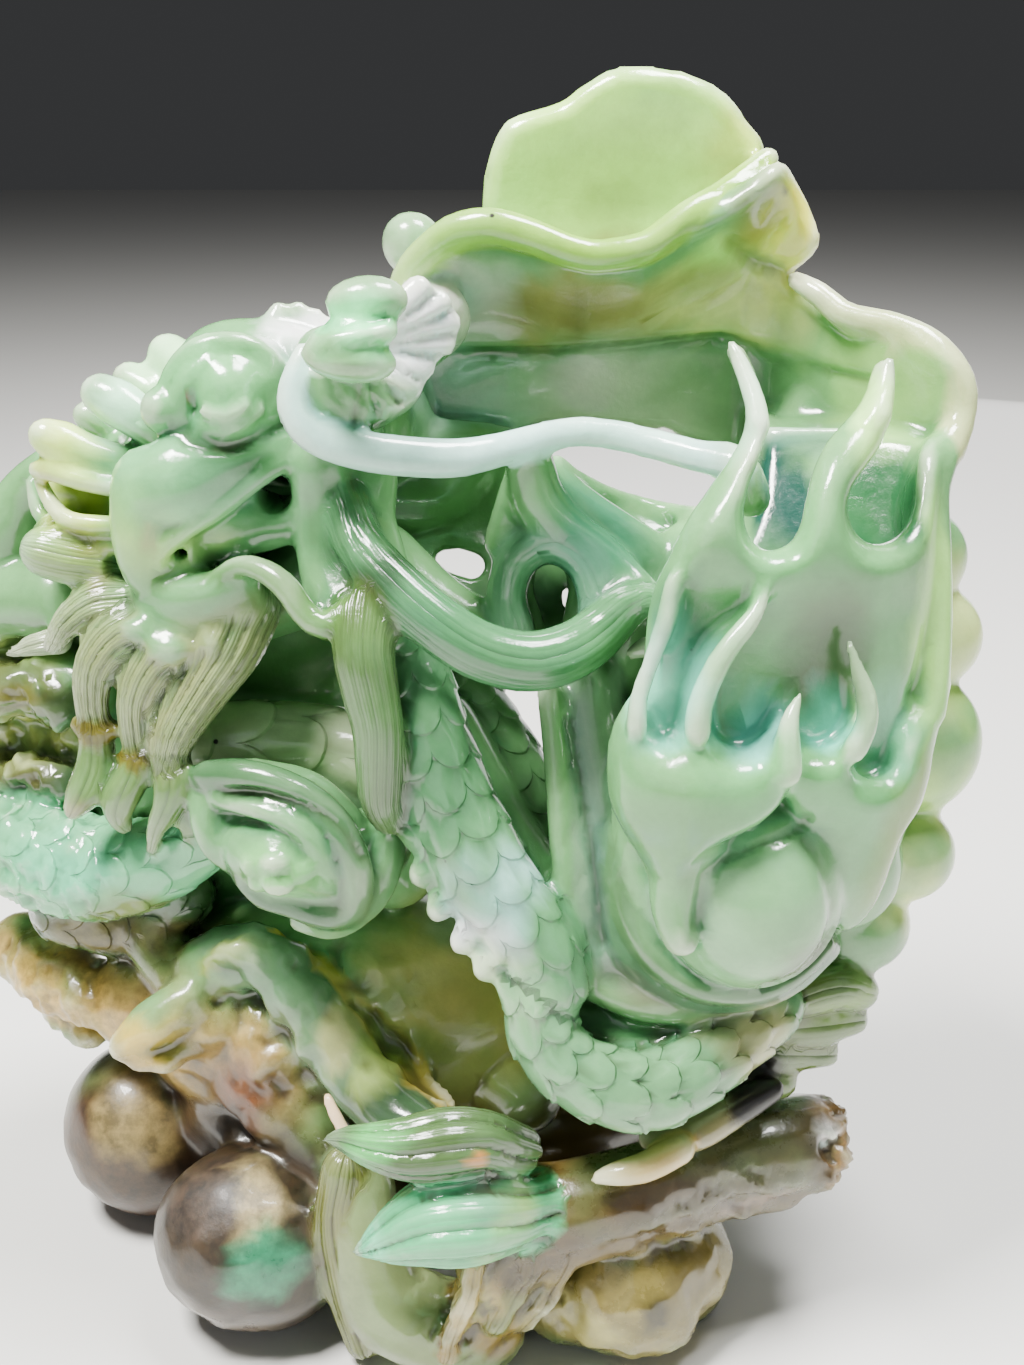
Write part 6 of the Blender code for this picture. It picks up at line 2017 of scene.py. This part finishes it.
        # the seams between the scales and between the strands show darker
        seam, line = (
            sum_of("MULTIPLY", sum_of("SUBTRACT", 1.0, height), sum_of("MULTIPLY", share, shade))
            for height, share, shade in ((scale, scaled, self.seam_shade), (strand, combed, self.line_shade))
        )
        for shade in (speckle, sum_of("SUBTRACT", 1.0, sum_of("MAXIMUM", seam, line))):
            shaded = add("ShaderNodeVectorMath", {"0": colour, "3": shade}, operation="SCALE")
            colour = shaded.outputs["Vector"]
        cells = add("ShaderNodeTexVoronoi", {"Vector": spot, "Scale": 60.0}).outputs["Distance"]
        dots = add("ShaderNodeMapRange", ranged(cells, 0.018, 0.03, 1.0, 0.0)).outputs["Result"]
        for factor, shade in ((grime, self.dirt_colour), (dots, self.speck_colour)):
            colour = add("ShaderNodeMix", {"Factor": factor, "6": colour, "7": (*Colour.linear(shade), 1)},
                         data_type="RGBA").outputs[2]
        gloss = ranged(mottle, 0.3, 0.75, self.gloss * 0.8, self.gloss * 1.7)
        worn = add("ShaderNodeMapRange", gloss).outputs["Result"]
        bump: dict[str, object] = {}
        for strength, metres, height in (
            (0.35, 0.00018, grain), (scaled, 0.0005, scale), (combed, 0.0003, strand),
        ):
            bump |= {"Strength": strength, "Distance": metres, "Height": height}
            bump["Normal"] = add("ShaderNodeBump", bump).outputs["Normal"]
        nodes.feed(stone.node_tree.nodes["Principled BSDF"], {
            "Base Color": colour,
            "Roughness": add("ShaderNodeMix", {"Factor": rough, "2": worn, "3": self.matte}).outputs[0],
            "Normal": bump["Normal"],
            "IOR": self.ior,
            "Subsurface Weight": self.soak,
            "Subsurface Radius": tuple(value / self.soak_scale for value in self.soak_depth),
            "Subsurface Scale": self.soak_scale,
            "Coat Weight": sum_of("MULTIPLY", sum_of("SUBTRACT", 1.0, rough), self.coat),
            "Coat Roughness": self.coat_roughness,
        })
        return stone


class Carving:
    """The whole carving: joins the parts into one skin, works it, colours it and hands it to the frame."""

    base_colour = "#699E64"
    edge_colour = "#EEF6DC"  # painted highlight: ridges of pale stone are paled towards this near-white
    edge_share = 0.5
    edge_bend = (0.1, 0.36)  # curvature in 1/mm where the painted highlight on a ridge starts and where it's strongest
    lit = (0.03, 0.3)  # how light the stone has to be for its ridges to take the painted highlight
    valley_bend = (0.02, 0.2)  # curvature where the painted shade in a furrow starts and where it's darkest
    valley_loss = (0.42, 0.22, 0.22)  # painted shade: red, green and blue taken off the colour in a furrow
    dirt_height = (40, 75)  # dirt thins out between these heights
    swells = ((22, 2.2, (3, 5, 7)), (7, 0.9, (13, 15, 17)))  # size, reach, seeds: shake the patches' edges

    def __init__(self, layout: Layout) -> None:
        """Gathers the parts, in the order that they are modelled."""
        self.layout = layout
        self.parts: tuple[Part, ...] = (
            Base(), Bodies(), Leaf(), CloudCurl(), Beard(), Mane(), Head(), HornFan(), Screen(), Flame(),
            Pearl(), Back(),
        )

    def lump(self, stage: Stage) -> bpy.types.Object:
        """One object with what every part adds at a stage."""
        clay = Clay(stage.value)
        for part in self.parts:
            getattr(part, stage.value)(clay)
        return clay.piece()

    def sculpt(self) -> bpy.types.Object:
        """Joins the forms, opens the hollows and adds the trims."""
        stone = self.lump(Stage.MODEL)
        remesh(stone, GRAIN)
        smooth(stone, POLISH)
        LOG.info("forms joined: %d points", len(stone.data.vertices))
        cutters = self.lump(Stage.CUT)
        remesh(cutters, GRAIN)
        self.subtract(stone, cutters)
        trims = self.lump(Stage.TRIM)
        whole = bmesh.new()
        for piece in (stone, trims):
            whole.from_mesh(piece.data)
        whole.to_mesh(stone.data)
        whole.free()
        bpy.data.objects.remove(trims, do_unlink=True)
        remesh(stone, FINE_GRAIN)
        smooth(stone, POLISH)
        LOG.info("trims joined: %d points", len(stone.data.vertices))
        return stone

    def subtract(self, stone: bpy.types.Object, cutters: bpy.types.Object) -> None:
        """Cuts one object out of the other and removes it."""
        hollow = stone.modifiers.new("hollows", "BOOLEAN")
        hollow.operation = "DIFFERENCE"
        hollow.solver = "MANIFOLD"
        hollow.object = cutters
        settle(stone)
        bpy.data.objects.remove(cutters, do_unlink=True)

    def saw(self, stone: bpy.types.Object) -> None:
        """Saws the underside flat at the ground."""
        cut = bmesh.new()
        cut.from_mesh(stone.data)
        whole = [*cut.verts, *cut.edges, *cut.faces]
        sawn = bmesh.ops.bisect_plane(
            cut, geom=whole, plane_co=(0, 0, 0), plane_no=(0, 0, -1), clear_outer=True
        )
        rim = [item for item in sawn["geom_cut"] if isinstance(item, bmesh.types.BMEdge)]
        bmesh.ops.edgeloop_fill(cut, edges=rim)
        bmesh.ops.triangulate(cut, faces=[face for face in cut.faces if len(face.verts) > 4])
        cut.to_mesh(stone.data)
        cut.free()

    def thin(self, stone: bpy.types.Object) -> None:
        """Thins the skin to the triangles it may have."""
        fewer = stone.modifiers.new("thin_out", "DECIMATE")
        fewer.use_collapse_triangulate = True
        triangles = sum(len(face.vertices) - 2 for face in stone.data.polygons)
        fewer.ratio = min(1.0, SKIN_TRIANGLES / triangles)
        settle(stone)

    def colour(self, skin: Skin) -> None:
        """Works out each point's tint, with painted highlights on ridges and painted shade in furrows, its
        painted shade in hollows, its grime and roughness, and stores them.
        """
        near, bend, shut = skin.hollow(rounds=4), skin.bend(rounds=3), skin.shut_in(rays=20, reach=24)
        tint = np.tile(Colour.linear(self.base_colour), (len(skin.points), 1))
        rough = np.zeros(len(skin.points))
        drift = np.zeros_like(skin.points)
        for size, reach, seeds in self.swells:
            drift += np.column_stack([ripple(skin.points, size, seed) for seed in seeds]) * reach
        for patch in (patch for part in self.parts for patch in part.patches):
            share = patch.share(skin, drift)
            tint = tint * (1 - share[:, None]) + Colour.linear(patch.colour) * share[:, None]
            rough = rough * (1 - share) + patch.rough * share
        # painted highlight: ridges of pale stone are paled towards near-white
        light = smoothstep(tint.mean(axis=1), *self.lit)
        thin = (smoothstep(bend, *self.edge_bend) * light * self.edge_share)[:, None]
        tint = tint * (1 - thin) + Colour.linear(self.edge_colour) * thin
        # painted shade: furrows are darkened
        tint *= 1 - smoothstep(-bend, *self.valley_bend)[:, None] * np.array(self.valley_loss)
        low = 1 - smoothstep(skin.points[:, 2], *self.dirt_height)
        # painted shade: points shut in by walls, and less so those in shallow dips, are darkened in the
        # material
        shade = smoothstep(shut, 0.3, 0.8) * 0.8 + smoothstep(near, 0.04, 0.3) * 0.2
        grime = smoothstep(near, 0.1, 0.4) * (0.15 + 0.55 * low) + 0.3 * skin.lines
        skin.store("tint", tint, Kept.COLOUR)
        skin.store("hollow", np.clip(shade, 0, 0.95))
        skin.store("grime", np.clip(grime, 0, 0.8))
        skin.store("rough", rough)
        skin.store("weave", skin.weave, Kept.VECTOR)
        skin.store("scaled", skin.scaled)
        skin.store("combed", skin.combed)

    def build(self) -> bpy.types.Object:
        """Builds the finished piece."""
        stone = self.sculpt()
        skin = Skin(stone)
        for part in self.parts:
            part.carve(skin)
            LOG.info("%s carved", type(part).__name__)
        skin.work_in()
        self.saw(stone)
        self.thin(stone)
        skin = Skin(stone)
        for part in self.parts:  # once more, for the patterns' coordinates on the thinned skin
            part.carve(skin)
        self.colour(skin)
        placed = self.layout.inside(self.layout.metres(skin.points))
        stone.data.vertices.foreach_set("co", placed.ravel())
        stone.data.materials.clear()
        stone.data.materials.append(PolishedCalcite().build())
        stone.data.shade_smooth()
        stone.name = stone.data.name = PIECE
        return stone


@dataclass(frozen=True)
class Softbox:
    """A soft square light."""

    name: str
    place: Place  # metres
    aim: Place  # the point it looks at
    size: float  # its side
    power: float  # watts
    colour: str

    def hang(self) -> None:
        """Adds the light to the scene."""
        lamp = bpy.data.lights.new(self.name, "AREA")
        lamp.size = self.size
        lamp.energy = self.power
        lamp.color = Colour.linear(self.colour)
        made = bpy.data.objects.new(self.name, lamp)
        made.location = self.place
        made.rotation_euler = (Vector(self.aim) - Vector(self.place)).to_track_quat("-Z", "Y").to_euler()
        bpy.context.scene.collection.objects.link(made)


@dataclass
class Studio:
    """The plain pale floor, the soft lights and the camera."""

    floor_size: float = 3.0
    floor_colour: str = "#DCDBD7"
    floor_roughness: float = 0.6
    lights: tuple[Softbox, ...] = (
        Softbox("key_softbox", (-0.26, -0.14, 0.78), (0, 0, 0.1), 0.2, 20, "#FFFEFA"),
        Softbox("top_softbox", (0.2, 0.06, 0.78), (0, 0, 0.1), 0.24, 14, "#FFFFFF"),
        Softbox("fill_softbox", (0.6, -0.5, 0.3), (0, 0, 0.1), 0.6, 0.6, "#F4FAFF"),
        Softbox("front_softbox", (-0.3, -0.75, 0.36), (0, 0, 0.1), 0.5, 0.6, "#F2FBFF"),
        Softbox("back_softbox", (0.3, 0.7, 0.3), (0, 0, 0.12), 0.6, 2, "#FFFFFF"),
    )
    air_colour: tuple[float, ...] = (0.8, 0.82, 0.85, 1)
    air_light: float = 0.05

    def floor(self) -> bpy.types.Object:
        """A flat pale floor."""
        shape = bmesh.new()
        bmesh.ops.create_grid(shape, x_segments=1, y_segments=1, size=self.floor_size)
        mesh = bpy.data.meshes.new("studio_floor")
        shape.to_mesh(mesh)
        shape.free()
        floor = bpy.data.objects.new("studio_floor", mesh)
        bpy.context.scene.collection.objects.link(floor)
        paint = bpy.data.materials.new("matt_pale_floor")
        paint.use_nodes = True
        shader = paint.node_tree.nodes["Principled BSDF"]
        shader.inputs["Base Color"].default_value = (*Colour.linear(self.floor_colour), 1)
        shader.inputs["Roughness"].default_value = self.floor_roughness
        mesh.materials.append(paint)
        return floor

    def camera(self, layout: Layout) -> None:
        """Sets the camera at the viewer's eye."""
        lens = bpy.data.cameras.new("viewer")
        lens.lens = LENS
        lens.sensor_width = FILM
        lens.clip_start = 0.01
        made = bpy.data.objects.new("viewer", lens)
        made.location = layout.metres(EYE[None])[0]
        made.rotation_euler = (math.radians(90 - EYE_DROP), 0, 0)
        bpy.context.scene.collection.objects.link(made)
        bpy.context.scene.camera = made

    def set_up(self, layout: Layout) -> None:
        """Adds the floor, the lights and the camera."""
        self.floor()
        for softbox in self.lights:
            softbox.hang()
        world = bpy.data.worlds.new("studio_air")
        world.use_nodes = True
        air = world.node_tree.nodes["Background"].inputs
        air["Color"].default_value = self.air_colour
        air["Strength"].default_value = self.air_light
        bpy.context.scene.world = world
        self.camera(layout)


def main() -> None:
    """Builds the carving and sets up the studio."""
    for item in [item for item in bpy.data.objects if item.name == "Cube"]:
        bpy.data.objects.remove(item, do_unlink=True)
    logging.basicConfig(level=logging.INFO, format="%(relativeCreated)d ms: %(message)s", stream=sys.stdout)
    layout = Layout()
    stone = Carving(layout).build()
    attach(stone, "root")
    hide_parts(NODE)
    LOG.info("%s: %d triangles", stone.name, len(stone.data.polygons))
    Studio().set_up(layout)


if __name__ == "__main__":
    main()
